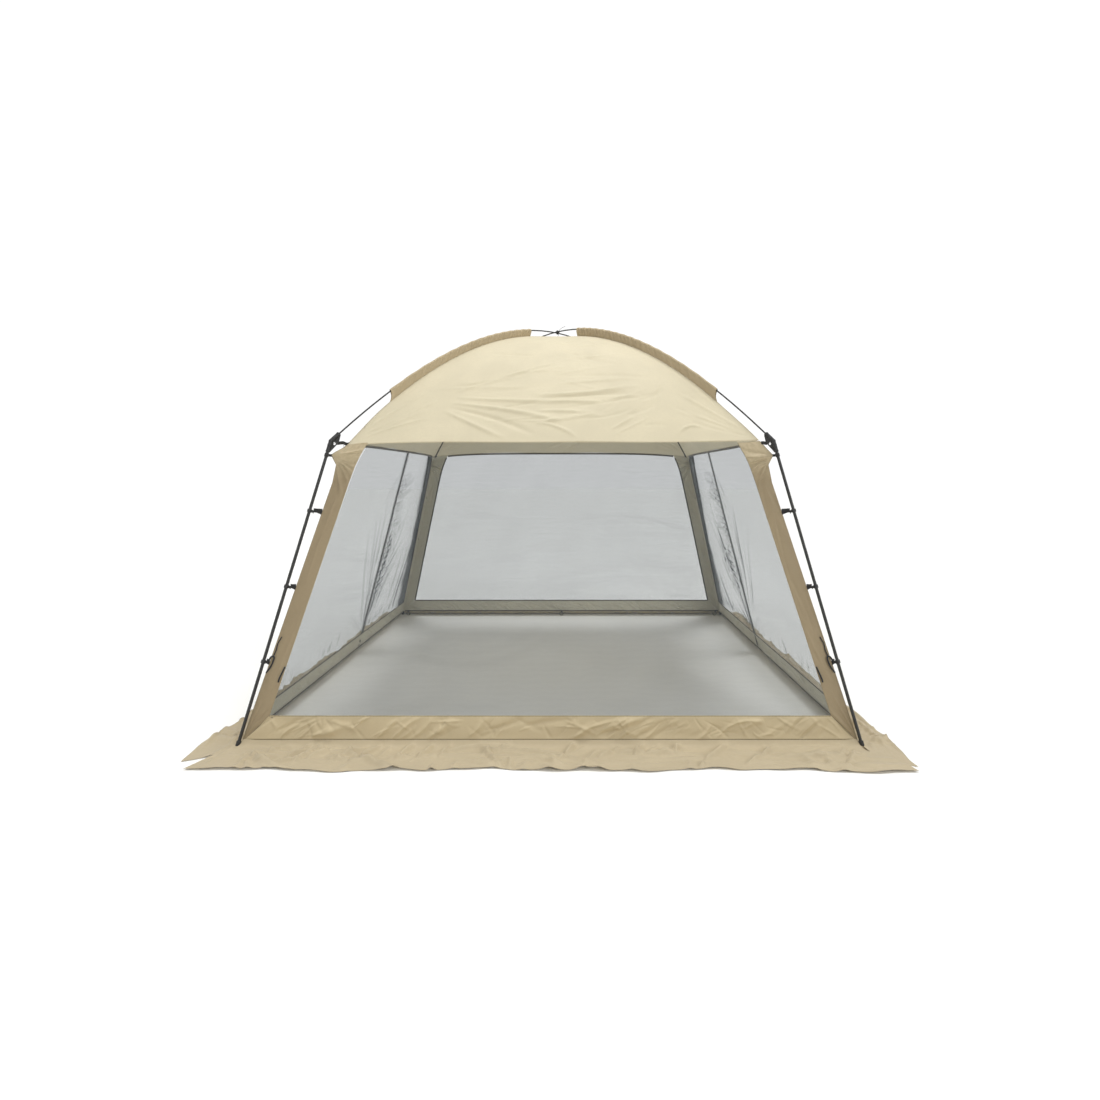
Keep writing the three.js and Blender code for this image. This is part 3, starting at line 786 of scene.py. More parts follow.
# --- Sleeves -------------------------------------------------------------------------------

SLEEVE_FROM = {"front_left": 0.262, "front_right": 0.202, "back_right": 0.230, "back_left": 0.210}
SLEEVE_TO = 1.330
SLEEVE_ROWS = 260
SLEEVE_TOP = 0.010  # top fold above the pole's centre line


def make_sleeve(corner):
    rng = np.random.default_rng(CORNERS[corner])
    lift = pole_lift(corner)
    start = SLEEVE_FROM[corner]
    d = np.linspace(start, SLEEVE_TO, SLEEVE_ROWS)[:, None]
    stretch = 1 / np.cos(np.arctan(np.gradient(pole_height(d[:, 0], lift), d[:, 0])))[:, None]
    top = pole_height(d, lift) + SLEEVE_TOP * stretch
    foot = roof_height(d / ROOT2) - 0.003
    # Section, from one foot over the pole to the other: share of the depth, half width
    depth = np.array([0, 0.16, 0.34, 0.52, 0.68, 0.80, 0.90, 0.97, 1.0])
    width = np.array([0.9, 1.3, 2.0, 3.0, 4.6, 6.3, 6.6, 4.4, 0.0]) / 1000
    depth = np.concatenate([depth, depth[-2::-1]])[None, :]
    width = np.concatenate([-width, width[-2::-1]])[None, :]
    pleat = np.zeros((len(d), depth.shape[1]))
    pitch = np.interp(d, [start, 0.7, SLEEVE_TO], [0.027, 0.033, 0.060])
    phase = np.cumsum(np.gradient(d[:, 0])[:, None] / pitch, axis=0) * 2 * math.pi
    strength = np.interp(d, [start, 0.75, 1.1, SLEEVE_TO], [0.0052, 0.0044, 0.0024, 0.0014])
    for weight, rate, slant in ((1, 1, 3.6), (0.55, 1.73, 4.4), (0.4, 0.61, 2.6)):
        shift = rng.uniform(0, 6)
        pleat += weight * np.sin(phase * rate + slant * depth + shift + np.sign(width) * 0.8)
    bulge = np.maximum(1 + pleat / 1.4, 0)
    pleat = np.sign(width) * strength * bulge * np.sin(np.clip(depth, 0, 1) * math.pi) ** 0.5
    z = foot + (top - foot) * depth
    z = z + 0.0012 * np.sin(phase * 0.5) * depth
    points = np.stack(np.broadcast_arrays(d + 0 * z, width + pleat, z), axis=-1)
    end = smooth_step(d, SLEEVE_TO - 0.06, SLEEVE_TO)
    points[..., 0] -= end * 0.012 * np.sin(math.pi * depth)
    flat = np.stack(np.broadcast_arrays(d, depth * 0.055 * np.sign(width + 1e-9)), axis=-1)
    extra = np.minimum(np.abs(d - start), np.abs(d - SLEEVE_TO)) + 0 * depth
    piece = cloth(
        f"sleeve_cloth_{corner}", turn(points, CORNERS[corner]), flat, extra,
        [SLEEVE],
    )
    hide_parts(f"pole_sleeve_{corner}")
    length = float((np.gradient(d[:, 0]) * stretch[:, 0]).sum())


# --- Corner columns ------------------------------------------------------------------------

COLUMN_ROWS = 190
ARM_COLUMNS = 22


def column_strokes(rng):
    """Folds of one face: u from the corner, v up; they spread from the drawn-out tip"""
    tip = (-0.02, 1.432)
    strokes = fan(rng, tip, (16, -64), 0.26, 11, 0.0066, 0.0110, start=0.01)
    strokes += fan(rng, (0.05, 1.34), (-100, -80), 0.5, 4, 0.010, 0.0040)
    strokes += scatter(rng, (0.01, 0.2), (0.08, 1.2), 84, 7, 0.45, 8, 0.010, 0.0030)
    strokes += fan(rng, (0.0, 0.045), (35, 82), 0.22, 6, 0.006, 0.0045, start=0.01)
    return strokes


def column_face(corner, sign):
    """One face of a column in the (+, +) quadrant; sign tells its two faces apart"""
    rng = np.random.default_rng(CORNERS[corner] * 3 + sign)
    z = np.concatenate([
        np.linspace(SEAM_Z, 0.16, 24, endpoint=False),
        np.linspace(0.16, 1.28, 90, endpoint=False),
        np.linspace(1.28, EAVE_Z - 0.001, COLUMN_ROWS - 114),
    ])[:, None]
    share = np.linspace(0, 1, ARM_COLUMNS)[None, :]
    half = wall_half(z)
    arm = arm_width(z)
    u = arm * share
    pull = corner_pull(z) * (1 - share) ** 1.8
    reach = half + pull
    along = half - u + pull
    flat = np.stack(np.broadcast_arrays(u, z), axis=-1)
    height = folds(flat, column_strokes(rng)) * (1 - share**8) * smooth_step(share, -0.05, 0.18)
    height = np.maximum(height, -0.0030)
    height = height + 0.0016 * np.sin(z * 7 + sign) * np.sin(math.pi * share)
    reach = reach + height - 0.0006
    lift = CORNER_LIFT[corner] * smooth_step(z, 1.44, EAVE_Z) * (1 - share) ** 2
    first, second = (along, reach) if sign > 0 else (reach, along)
    points = np.stack(np.broadcast_arrays(first, second, z + lift), axis=-1)
    return points, flat, np.broadcast_to(np.minimum(u, arm - u), points.shape[:2])


def make_column(corner):
    one, flat_one, edge_one = column_face(corner, 1)
    other, flat_other, edge_other = column_face(corner, -1)
    flat_other = flat_other * [-1, 1]
    points = np.concatenate([one[:, ::-1], other[:, 1:]], axis=1)
    corner_line = (one[:, 0] + other[:, 0]) / 2
    points[:, ARM_COLUMNS - 1] = corner_line
    flat = np.concatenate([flat_one[:, ::-1], flat_other[:, 1:]], axis=1)
    edge = np.concatenate([edge_one[:, ::-1], edge_other[:, 1:]], axis=1)
    piece = cloth(
        f"column_cloth_{corner}", turn(points, CORNERS[corner] - 45)[::-1], flat[::-1], edge[::-1],
        [COLUMN, COATING],
    )
    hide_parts(f"corner_column_{corner}")


# --- Walls ---------------------------------------------------------------------------------


def mesh_inner_edge(z):
    """Where the mesh meets a column's face, with the curve of its upper corner"""
    return wall_half(z) - arm_width(z) - SEWN


def mesh_strokes(rng, from_u, to_u, towards_zip, back_half):
    """Folds of a mesh half: steep ones that gather at the zip's foot and its top"""
    if towards_zip == 0:
        return scatter(rng, (from_u, 0.3), (to_u, 1.2), 4, 14, 0.9, 7, 0.05, 0.006)
    zip_u = to_u if towards_zip > 0 else from_u
    lean = 1 if towards_zip > 0 else -1
    rise = 0.0095 if back_half else 0.0060
    strokes = fan(rng, (zip_u, 0.10), (90 + lean * 3, 90 + lean * 34), 1.05, 9, 0.0115, rise)
    strokes += fan(rng, (zip_u, 0.10), (90 + lean * 36, 90 + lean * 72), 0.45, 6, 0.011, rise * 0.6)
    from_top = (270 - lean * 6, 270 - lean * 50)
    strokes += fan(rng, (zip_u, 1.40), from_top, 0.45, 6, 0.011, rise * 0.7)
    along_foot = (from_u, 0.15), (to_u, 0.21)
    strokes += scatter(rng, *along_foot, 90 + lean * 14, 10, 0.12, 30, 0.007, 0.0045)
    if back_half:
        for v in np.linspace(0.40, 1.32, 22):
            reach = rng.uniform(0.14, 0.36)
            climb = reach * rng.uniform(0.02, 0.24)
            rise_here = rng.uniform(0.009, 0.016)
            strokes.append((zip_u, v, zip_u - lean * reach, v + climb, 0.011, rise_here, 0.01))
        strokes += scatter(rng, (from_u, 0.20), (to_u, 0.95), 90 + lean * 8, 6, 0.6, 7, 0.012, rise)
    return strokes


def mesh_grid(side, low_u, high_u, towards_zip, back_half, columns):
    """A mesh panel between two edges, each given as a function of height"""
    rng = np.random.default_rng(SIDES[side] + 107 + 100 * towards_zip)
    z = np.linspace(STRIP_TOP_Z, EAVE_Z - 0.0005, MESH_ROWS)[:, None]
    share = np.linspace(0, 1, columns)[None, :]
    x = low_u(z) + (high_u(z) - low_u(z)) * share
    flat = np.stack(np.broadcast_arrays(x, up_slope(z)), axis=-1)
    middle = float(low_u(z).mean()), float(high_u(z).mean())
    strokes = mesh_strokes(rng, *middle, towards_zip, back_half)
    height = folds(flat, strokes) + ripple(flat, rng, 0.5, 0.008)
    level = (z - z[0]) / (z[-1] - z[0])
    held = np.minimum(smooth_step(level, 0, 0.05), smooth_step(1 - level, 0, 0.04))
    held = held * np.minimum(smooth_step(share, 0, 0.035), smooth_step(1 - share, 0, 0.035))
    height = height * held
    spacing = (middle[1] - middle[0]) / (columns - 1)
    slope = np.hypot(*np.gradient(height, up_slope(z)[:, 0], spacing))
    belly = 0.012 * np.sin(math.pi * level) * np.sin(math.pi * share)
    points = on_wall(x, z, height - belly - 0.001)
    points[..., 2] += eave_rise(side, x / EAVE_HALF) * smooth_step(level, 0.6, 1.0)
    # the last value follows the folds' slope: it thickens the mesh in its folds and darkens it there as painted
    # shade
    return points, flat, np.clip(slope * 0.50, 0, 0.65)


def make_mesh(name, side, low_u, high_u, towards_zip, columns):
    back_half = towards_zip != 0 and (side == "left") == (towards_zip > 0)
    points, flat, bunching_and_shade = mesh_grid(side, low_u, high_u, towards_zip, back_half, columns)
    share = np.linspace(0, 1, columns)[None, :]
    # along the zip and beside the back column the mesh bunches: it is made denser there, and its darkening there
    # is painted shade
    if towards_zip:
        from_column = share if towards_zip > 0 else 1 - share
        bunching_and_shade = bunching_and_shade + 0.75 * np.exp(-(((1 - from_column) / 0.022) ** 2))
    if back_half:
        level = np.linspace(0, 1, len(bunching_and_shade))[:, None]
        gathered = 0.17 + 0.05 * level + 0.022 * np.sin(11 * level) + 0.012 * np.sin(37 * level + 1)
        bunching_and_shade = bunching_and_shade + 0.95 * np.exp(-((from_column / gathered) ** 4))
        bunching_and_shade = bunching_and_shade + (0.30 - 0.16 * level) * np.exp(-((from_column / 0.42) ** 2))
    piece = cloth(
        f"mesh_cloth_{name}", turn(points, SIDES[side]), flat, bunching_and_shade,
        [MESH],
    )
    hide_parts(f"mesh_{name}")
    z = np.linspace(STRIP_TOP_Z, EAVE_Z, 50)
    widths = high_u(z) - low_u(z)


def make_walls():
    def low_edge(z):
        return -mesh_inner_edge(z)

    for side in ("front", "back"):
        make_mesh(side, side, low_edge, mesh_inner_edge, 0, WALL_COLUMNS)
    for side, sign in (("right", 1), ("left", -1)):
        near = sign * ZIP_ALONG - ZIP_GAP
        far = sign * ZIP_ALONG + ZIP_GAP
        low, high = ("front", "back") if sign > 0 else ("back", "front")
        make_mesh(
            f"{side}_{low}", side, low_edge, lambda z, u=near: u + 0 * z, 1, HALF_COLUMNS,
        )
        make_mesh(
            f"{side}_{high}", side, lambda z, u=far: u + 0 * z, mesh_inner_edge, -1, HALF_COLUMNS,
        )


def make_strip(side):
    """The plain strip of cloth under a mesh"""
    rng = np.random.default_rng(SIDES[side] + 31)
    z = np.linspace(SEAM_Z + 0.0006, STRIP_TOP_Z - 0.0006, 30)[:, None]
    share = np.linspace(-1, 1, 700)[None, :]
    x = mesh_inner_edge(z) * share
    flat = np.stack(np.broadcast_arrays(x, up_slope(z)), axis=-1)
    strokes = scatter(rng, (-1.4, 0.01), (1.4, 0.1), 30, 12, 0.22, 50, 0.0120, 0.0070)
    strokes += scatter(rng, (-1.4, 0.01), (1.4, 0.1), 34, 14, 0.14, 50, 0.0050, 0.0030)
    strokes += scatter(rng, (-1.4, 0.01), (1.4, 0.1), -36, 14, 0.15, 34, 0.0080, 0.0042)
    height = folds(flat, strokes) + ripple(flat, rng, 0.2, 0.006)
    level = (z - z[0]) / (z[-1] - z[0])
    held = np.minimum(smooth_step(level, -0.1, 0.3), smooth_step(1 - level, -0.1, 0.25))
    points = on_wall(x, z, height * held)
    edge = np.minimum(up_slope(z) - up_slope(z[0]), up_slope(z[-1]) - up_slope(z))
    edge = np.broadcast_to(edge, x.shape)
    piece = cloth(
        f"strip_cloth_{side}", turn(points, SIDES[side]), flat, edge,
        [STRIP, COATING],
    )
    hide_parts(f"base_strip_{side}")


def wall_band(name, side, path, width):
    """Dark binding inside a wall, along a path given as x and height"""
    x, z = np.array(path, float).T
    travel = np.concatenate([[0], np.cumsum(np.hypot(np.diff(x), np.diff(z)))])
    even = np.linspace(0, travel[-1], max(12, int(travel[-1] / 0.04)))
    x, z = np.interp(even, travel, x), np.interp(even, travel, z)
    points = on_wall(x, z, -BAND_INSIDE)
    points[:, 2] += eave_rise(side, x / EAVE_HALF) * smooth_step(z, 0.9, EAVE_Z)
    inward = on_wall(0, 1.0, 0.01) - on_wall(0, 1.0, 0)
    run = np.gradient(points, axis=0)
    sideways = np.cross(run, inward)
    piece = ribbon(
        name, turn(points, SIDES[side]), turn(sideways, SIDES[side]), width, BAND_THICK,
        [BINDING],
    )


def make_bindings(side):
    """Dark tape on the inside, along the mesh's edges and the seam above the skirt"""
    z = np.array([STRIP_TOP_Z, 0.5, 0.9, 1.29, 1.385, 1.437, EAVE_Z - 0.02])
    top = float(mesh_inner_edge(EAVE_Z))
    if side != "front":
        for sign, end in ((-1, "low"), (1, "high")):
            wide = 0.028 if (side, end) in (("left", "low"), ("right", "high")) else 0.011
            edge = np.column_stack([sign * (mesh_inner_edge(z) + 0.011 - wide / 2), z])
            wall_band(f"binding_{side}_{end}", side, edge, wide)
        wall_band(f"binding_{side}_top", side, [(-top, EAVE_Z - 0.004), (top, EAVE_Z - 0.004)], 0.014)
    foot = float(mesh_inner_edge(STRIP_TOP_Z))
    level = STRIP_TOP_Z - (0.007 if side == "front" else 0)
    wall_band(f"binding_{side}_foot", side, [(-foot, level), (foot, level)], 0.010)
    seam = wall_half(SEAM_Z) - 0.012
    wall_band(f"binding_{side}_seam", side, [(-seam, SEAM_Z + 0.006), (seam, SEAM_Z + 0.006)], 0.010)


# --- Skirts --------------------------------------------------------------------------------

SKIRT_ROWS = 34
SKIRT_COLUMNS = 440
SKIRT_REACH = {  # at its low end, its middle and its high end
    "front": (0.241, 0.245, 0.262),
    "right": (0.182, 0.180, 0.205),
    "back": (0.225, 0.225, 0.225),
    "left": (0.205, 0.182, 0.204),
}
SKIRT_TIPS = {
    "front": (0.143, 0.160),
    "right": (0.213, 0.140),
    "back": (0.140, 0.140),
    "left": (0.140, 0.158),
}


def make_skirt(side):
    rng = np.random.default_rng(SIDES[side] + 57)
    share = np.linspace(-1, 1, SKIRT_COLUMNS)[None, :]
    out_share = np.linspace(0, 1, SKIRT_ROWS)[:, None]
    start = BASE_HALF - 0.012
    low_tip, high_tip = SKIRT_TIPS[side]
    tip = np.where(share < 0, low_tip, high_tip)
    reach = start + (tip + 0.012) * out_share**0.55
    x = reach * share
    hem = 0.010 * np.sin(5.2 * x + SIDES[side]) + 0.007 * np.sin(13 * x + 2)
    hem = (hem + 0.004 * np.sin(31 * x)) * (1 - np.abs(share) ** 12)
    widths = np.take(SKIRT_REACH[side], [0, 1, 1, 2])
    width = np.interp(x, [-BASE_HALF, -1.0, 1.0, BASE_HALF], widths) + hem
    out = width * out_share
    fall = (SEAM_Z - 0.001) * np.exp(-out / 0.020)
    flat = np.stack([x + 0 * out, np.broadcast_to(out, x.shape)], axis=-1)
    strokes = scatter(rng, (-1.6, 0.02), (1.6, 0.12), -52, 18, 0.22, 34, 0.012, 0.0240)
    strokes += scatter(rng, (-1.6, 0.06), (1.6, 0.2), 8, 14, 0.42, 26, 0.014, 0.0210)
    strokes += scatter(rng, (-1.5, 0.16), (1.5, 0.25), 90, 16, 0.12, 18, 0.020, 0.0150)
    strokes += fan(rng, (-BASE_HALF, 0.0), (10, 60), 0.36, 6, 0.014, 0.016, start=0.0)
    strokes += fan(rng, (BASE_HALF, 0.0), (170, 120), 0.36, 6, 0.014, 0.016, start=0.0)
    height = np.abs(folds(flat, strokes)) + np.abs(ripple(flat, rng, 0.3, 0.006))
    lift = height * smooth_step(out_share, 0.0, 0.18)
    at_end = smooth_step(np.abs(x), BASE_HALF - 0.08, BASE_HALF)
    lift = lift * (1 - 0.7 * at_end) + (0.006 * at_end if side in ("front", "back") else 0)
    curl = 0.0035 * smooth_step(out_share, 0.9, 1.0) * (1 + np.sin(17 * x + 1))
    z = fall + 0.0016 + lift + curl
    y = -BASE_HALF - 0.0005 - out
    points = np.stack(np.broadcast_arrays(x, y, z), axis=-1)
    edge = width * (1 - out_share) + 0 * x
    piece = cloth(
        f"skirt_cloth_{side}", turn(points, SIDES[side])[::-1], flat[::-1], edge[::-1],
        [SKIRT],
    )
    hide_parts(f"skirt_{side}")


# --- Zips ----------------------------------------------------------------------------------


def make_zip(side):
    low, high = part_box(f"zip_tape_{side}")
    sign = 1 if side == "right" else -1
    x = sign * ZIP_ALONG
    z = np.linspace(low.z + 0.001, high.z - 0.001, 120)
    for name, out, width, thick in (("tape", -0.0006, 0.030, 0.0012), ("coil", 0.0009, 0.0080, 0.0022)):
        path = turn(on_wall(x, z, out), SIDES[side])
        band = ribbon(
            f"zip_{name}_strip_{side}", path, turn([[1, 0, 0]], SIDES[side]), width, thick,
            [WEBBING if name == "tape" else ZIP_COIL],
        )
        if name == "tape":
            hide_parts(f"zip_tape_{side}")
            path_length(path)


def restyle(node, material):
    """Gives a CAD node a better material"""
    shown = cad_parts[node]
    shown.data.materials.clear()
    shown.data.materials.append(material)


def joined(name, parts, body, material, bevel=0.0008):
    """One piece out of several bmesh builders, its edges eased"""
    built = bmesh.new()
    for part in parts:
        part(built)
    mesh = bpy.data.meshes.new(name)
    built.to_mesh(mesh)
    built.free()
    mesh.materials.append(material)
    mesh.polygons.foreach_set("use_smooth", [True] * len(mesh.polygons))
    piece = bpy.data.objects.new(name, mesh)
    bpy.context.scene.collection.objects.link(piece)
    eased = piece.modifiers.new("eased", "BEVEL")
    eased.width = bevel
    eased.segments = 2
    eased.limit_method = "ANGLE"
    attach(piece, body)
    return piece


def lathe(place, profile, sides=28):
    """Adds a turned solid: profile as distance along the place's z axis and radius"""

    def build(target):
        rings = []
        for along, radius in profile:
            ring = []
            for k in range(sides):
                angle = 2 * math.pi * k / sides
                local = Vector((radius * math.cos(angle), radius * math.sin(angle), along))
                ring.append(target.verts.new(place @ local))
            rings.append(ring)
        for a, b in zip(rings, rings[1:]):
            for k in range(sides):
                following = (k + 1) % sides
                target.faces.new((a[k], a[following], b[following], b[k]))
        target.faces.new(list(reversed(rings[0])))
        target.faces.new(rings[-1])

    return build


def plate(place, outline, thick, hole=None, sides=24):
    """Adds a flat plate with rounded corners in the place's xy plane, and a round hole in it"""

    def build(target):
        outer = rounded(outline, 0.004)
        centre, radius = hole if hole else (None, 0)
        for level in (-thick / 2, thick / 2):
            loops = [[target.verts.new(place @ Vector((x, y, level))) for x, y in outer]]
            if hole:
                loops.append([
                    target.verts.new(place @ Vector((
                        centre[0] + radius * math.cos(2 * math.pi * k / sides),
                        centre[1] + radius * math.sin(2 * math.pi * k / sides), level,
                    ))) for k in range(sides)
                ])
            edges = []
            for loop in loops:
                edges += [target.edges.new((loop[i - 1], loop[i])) for i in range(len(loop))]
            bmesh.ops.triangle_fill(target, use_beauty=True, edges=edges)
            if level < 0:
                below = loops
        for low, high in zip(below, loops):
            for i in range(len(low)):
                target.faces.new((low[i - 1], low[i], high[i], high[i - 1]))

    return build


def rounded(outline, radius, steps=4):
    """An outline with its corners rounded"""
    points = [Vector(point) for point in outline]
    made = []
    for i, corner in enumerate(points):
        before = (points[i - 1] - corner).normalized()
        after = (points[(i + 1) % len(points)] - corner).normalized()
        for k in range(steps + 1):
            t = k / steps
            a, b = corner + before * radius, corner + after * radius
            made.append(tuple(a * (1 - t) ** 2 + corner * 2 * t * (1 - t) + b * t**2))
    return made


# --- Corner hardware -----------------------------------------------------------------------

WEB_OUTLINE = [
    (0, 0), (-0.045, 0.042), (-0.053, 0.033), (-0.042, -0.008), (0.008, -0.061), (0.018, -0.058),
]
EYE = ((-0.020, -0.013), 0.0085)
BARREL = 0.062


def corner_plane(corner, d, z):
    """A frame in the upright plane through a corner: x outwards, y up, z across"""
    outward = turn([1, 0, 0], CORNERS[corner])
    across = turn([0, -1, 0], CORNERS[corner])
    place = Matrix.Identity(4)
    for row in range(3):
        place[row][0] = outward[row]
        place[row][1] = 1 if row == 2 else 0
        place[row][2] = across[row]
        place[row][3] = outward[row] * d + (z if row == 2 else 0)
    return place


def facing(place, angle):
    """The same frame with its z axis along a direction, given as an angle above outwards"""
    return place @ Matrix.Rotation(angle, 4, "Z") @ Matrix.Rotation(math.pi / 2, 4, "Y")


def make_hub(corner):
    lift = pole_lift(corner)
    slope = (pole_height(ELBOW_D + 0.001, lift) - pole_height(ELBOW_D - 0.001, lift)) / 0.002
    elbow = corner_plane(corner, ELBOW_D, ELBOW_Z)
    up_pole = facing(elbow, math.pi - math.atan(-slope))
    down_leg = facing(elbow, -math.pi / 2 + LEAN)
    ribs = [(0.0, 0.0112), (0.018, 0.0112), (0.020, 0.0118), (0.023, 0.0118), (0.025, 0.0112)]
    upper = ribs + [(0.052, 0.0112), (0.054, 0.0120), (BARREL - 0.001, 0.0120), (BARREL, 0.0112)]
    lower = [(a, r - 0.0002) for a, r in ribs] + [
        (0.054, 0.0108), (0.056, 0.0115), (BARREL - 0.001, 0.0115), (BARREL, 0.0106),
    ]
    ball = [
        (-0.0118 * math.cos(t), max(0.0118 * math.sin(t), 0.0002))
        for t in np.linspace(0.02, math.pi - 0.02, 14)
    ]
    rivet = elbow @ Matrix.Translation((0.004, -0.012, 0))
    boss = [(-0.0075, 0.0042), (-0.0068, 0.0050), (0.0068, 0.0050), (0.0075, 0.0042)]
    hub = joined(
        f"hub_shell_{corner}",
        [
            lathe(up_pole, upper),
            lathe(down_leg, lower),
            lathe(elbow, ball),
            plate(elbow, WEB_OUTLINE, 0.009, EYE),
            lathe(rivet, boss),
        ],
        "root", PLASTIC,
    )
    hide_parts(f"elbow_hub_{corner}")


def make_elbow_strap(corner):
    """Webbing from the roof's corner to the hub, a cord hook through the hub's eye, and its tail"""
    degrees = CORNERS[corner]
    d = ROOT2 * EAVE_HALF
    eye_d, eye_z = ELBOW_D + EYE[0][0], ELBOW_Z + EYE[0][1]
    knots = [
        (d - 0.030, 0, EAVE_Z - 0.004), (d - 0.004, 0, EAVE_Z - 0.010),
        (d + 0.018, 0, EAVE_Z - 0.003), (eye_d - 0.017, 0, eye_z + 0.002),
    ]
    path = turn(smooth_path(knots, 20), degrees)
    strap = ribbon(
        f"elbow_webbing_{corner}", path, turn([[0, 0.3, 1]], degrees), 0.018, 0.0030,
        [WEBBING],
    )
    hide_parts(f"elbow_strap_{corner}")
    hook = [(eye_d - 0.020, 0, eye_z + 0.001)]
    for angle in np.linspace(170, 20, 7):
        turned = math.radians(angle)
        hook.append((eye_d - 0.002 + 0.010 * math.cos(turned), 0.006 * math.sin(math.radians(angle * 1.2)),
                     eye_z + 0.006 * math.sin(turned) - 0.002))
    path = turn(smooth_path(hook, 26), degrees)
    tube(f"hub_hook_{corner}", path, 0.0017, PALE_CORD)
    if corner != "front_left":
        return
    fall = [(d + 0.014, 0.003, EAVE_Z - 0.008), (d + 0.018, 0.006, EAVE_Z - 0.020),
            (d + 0.008, 0.009, EAVE_Z - 0.034), (d - 0.006, 0.010, EAVE_Z - 0.042)]
    free_cord(f"elbow_cord_tail_{corner}", turn(fall, degrees), 0.0012, material=PALE_CORD)


def make_tip_loop(corner):
    """Band round the leg under the hub that holds the column's drawn-out tip"""
    z = 1.437
    d = along_leg(z)
    place = corner_plane(corner, d, z) @ Matrix.Rotation(LEAN, 4, "Z") @ Matrix.Rotation(-math.pi / 2, 4, "X")
    inner, outer, half = LEG_RADIUS + 0.0004, LEG_RADIUS + 0.0034, 0.010
    profile = [(-half, inner), (-half, outer - 0.0006), (-half + 0.001, outer), (half - 0.001, outer),
               (half, outer - 0.0006), (half, inner), (-half, inner)]
    band = joined(
        f"tip_loop_{corner}", [ring_of(place, profile)], "root", WEBBING, 0.0003
    )
    tip = ROOT2 * (wall_half(z) + float(corner_pull(z)))
    path = smooth_path([(d - outer + 0.001, 0, z), ((d - outer + tip) / 2, 0, z - 0.002),
                        (tip - 0.012, 0, z - 0.002)], 10)
    ribbon(
        f"tip_tab_{corner}", turn(path, CORNERS[corner]), (0, 0, 1), 0.014, 0.0022, [WEBBING]
    )
    return band


def ring_of(place, profile, sides=32):
    """Adds a closed band: the profile, distance along the axis and radius, swept round"""

    def build(target):
        rings = []
        for along, radius in profile[:-1]:
            rings.append([
                target.verts.new(place @ Vector((
                    radius * math.cos(2 * math.pi * k / sides), radius * math.sin(2 * math.pi * k / sides), along,
                ))) for k in range(sides)
            ])
        for i, a in enumerate(rings):
            b = rings[(i + 1) % len(rings)]
            for k in range(sides):
                following = (k + 1) % sides
                target.faces.new((a[k], a[following], b[following], b[k]))

    return build


def c_ring(place, inner, outer, half, mouth, sides=28):
    """Adds a C: a ring with a mouth towards +x"""

    def build(target):
        stations = []
        for angle in np.linspace(mouth, 2 * math.pi - mouth, sides):
            lip = 0.0012 * (angle < mouth + 0.25 or angle > 2 * math.pi - mouth - 0.25)
            inside, outside = inner - lip / 3, outer + lip
            corners = [(inside, -half), (outside, -half), (outside, half), (inside, half)]
            stations.append([
                target.verts.new(place @ Vector((r * math.cos(angle), r * math.sin(angle), h)))
                for r, h in corners
            ])
        for a, b in zip(stations, stations[1:]):
            for k in range(4):
                target.faces.new((a[k], b[k], b[k - 3], a[k - 3]))
        target.faces.new(stations[0])
        target.faces.new(list(reversed(stations[-1])))

    return build


def box_part(place, low, high):
    def build(target):
        made = bmesh.ops.create_cube(target, size=1)["verts"]
        middle = (Vector(low) + Vector(high)) / 2
        size = Vector(high) - Vector(low)
        for vertex in made:
            scaled = Vector((vertex.co.x * size.x, vertex.co.y * size.y, vertex.co.z * size.z))
            vertex.co = place @ (middle + scaled)

    return build


def make_clip(corner, height_name):
    z = CLIP_HEIGHTS[height_name]
    body = f"clip_{corner}_{height_name}"
    d = along_leg(z)
    plane = corner_plane(corner, d, z)
    place = plane @ Matrix.Rotation(LEAN, 4, "Z") @ Matrix.Rotation(-math.pi / 2, 4, "X")
    clip = joined(
        f"clip_shell_{corner}_{height_name}",
        [
            c_ring(place, 0.0084, 0.0120, 0.0085, math.radians(48)),
            box_part(place, (-0.0205, -0.0036, -0.0065), (-0.0112, 0.0036, 0.0065)),
            box_part(place, (-0.0235, -0.0030, -0.0100), (-0.0200, 0.0030, 0.0100)),
        ],
        body, PLASTIC, 0.0009,
    )
    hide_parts(f"pole_clip_{corner}_{height_name}")
    end_d = ROOT2 * float(wall_half(z)) + 0.0012
    sideways = end_d - d
    knots = [(d - 0.0215, 0, z), (d + sideways * 0.55, 0, z - 0.002), (end_d, 0, z - 0.010)]
    path = smooth_path(knots, 14)
    width = np.interp(np.arange(len(path)), [0, 5, len(path) - 1], [0.022, 0.023, 0.034])
    strap = ribbon(
        f"clip_webbing_{corner}_{height_name}", turn(path, CORNERS[corner]), (0, 0, 1), 1.0, 0.0022,
        [WEBBING], body=None,
    )
    squeeze(strap, turn(path, CORNERS[corner]), width)
    tuple(turn(path[-3], CORNERS[corner]))
    tuple(turn(path[1], CORNERS[corner]))
    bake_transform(strap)


def squeeze(piece, path, width):
    """Sets a one-metre-wide band's width at each point of its path"""
    ring = len(piece.data.vertices) // len(path)
    for row, (point, wide) in enumerate(zip(path, width)):
        for vertex in piece.data.vertices[row * ring:(row + 1) * ring]:
            vertex.co.z = point[2] + (vertex.co.z - point[2]) * wide


# --- Crown, ties and floor loops -----------------------------------------------------------


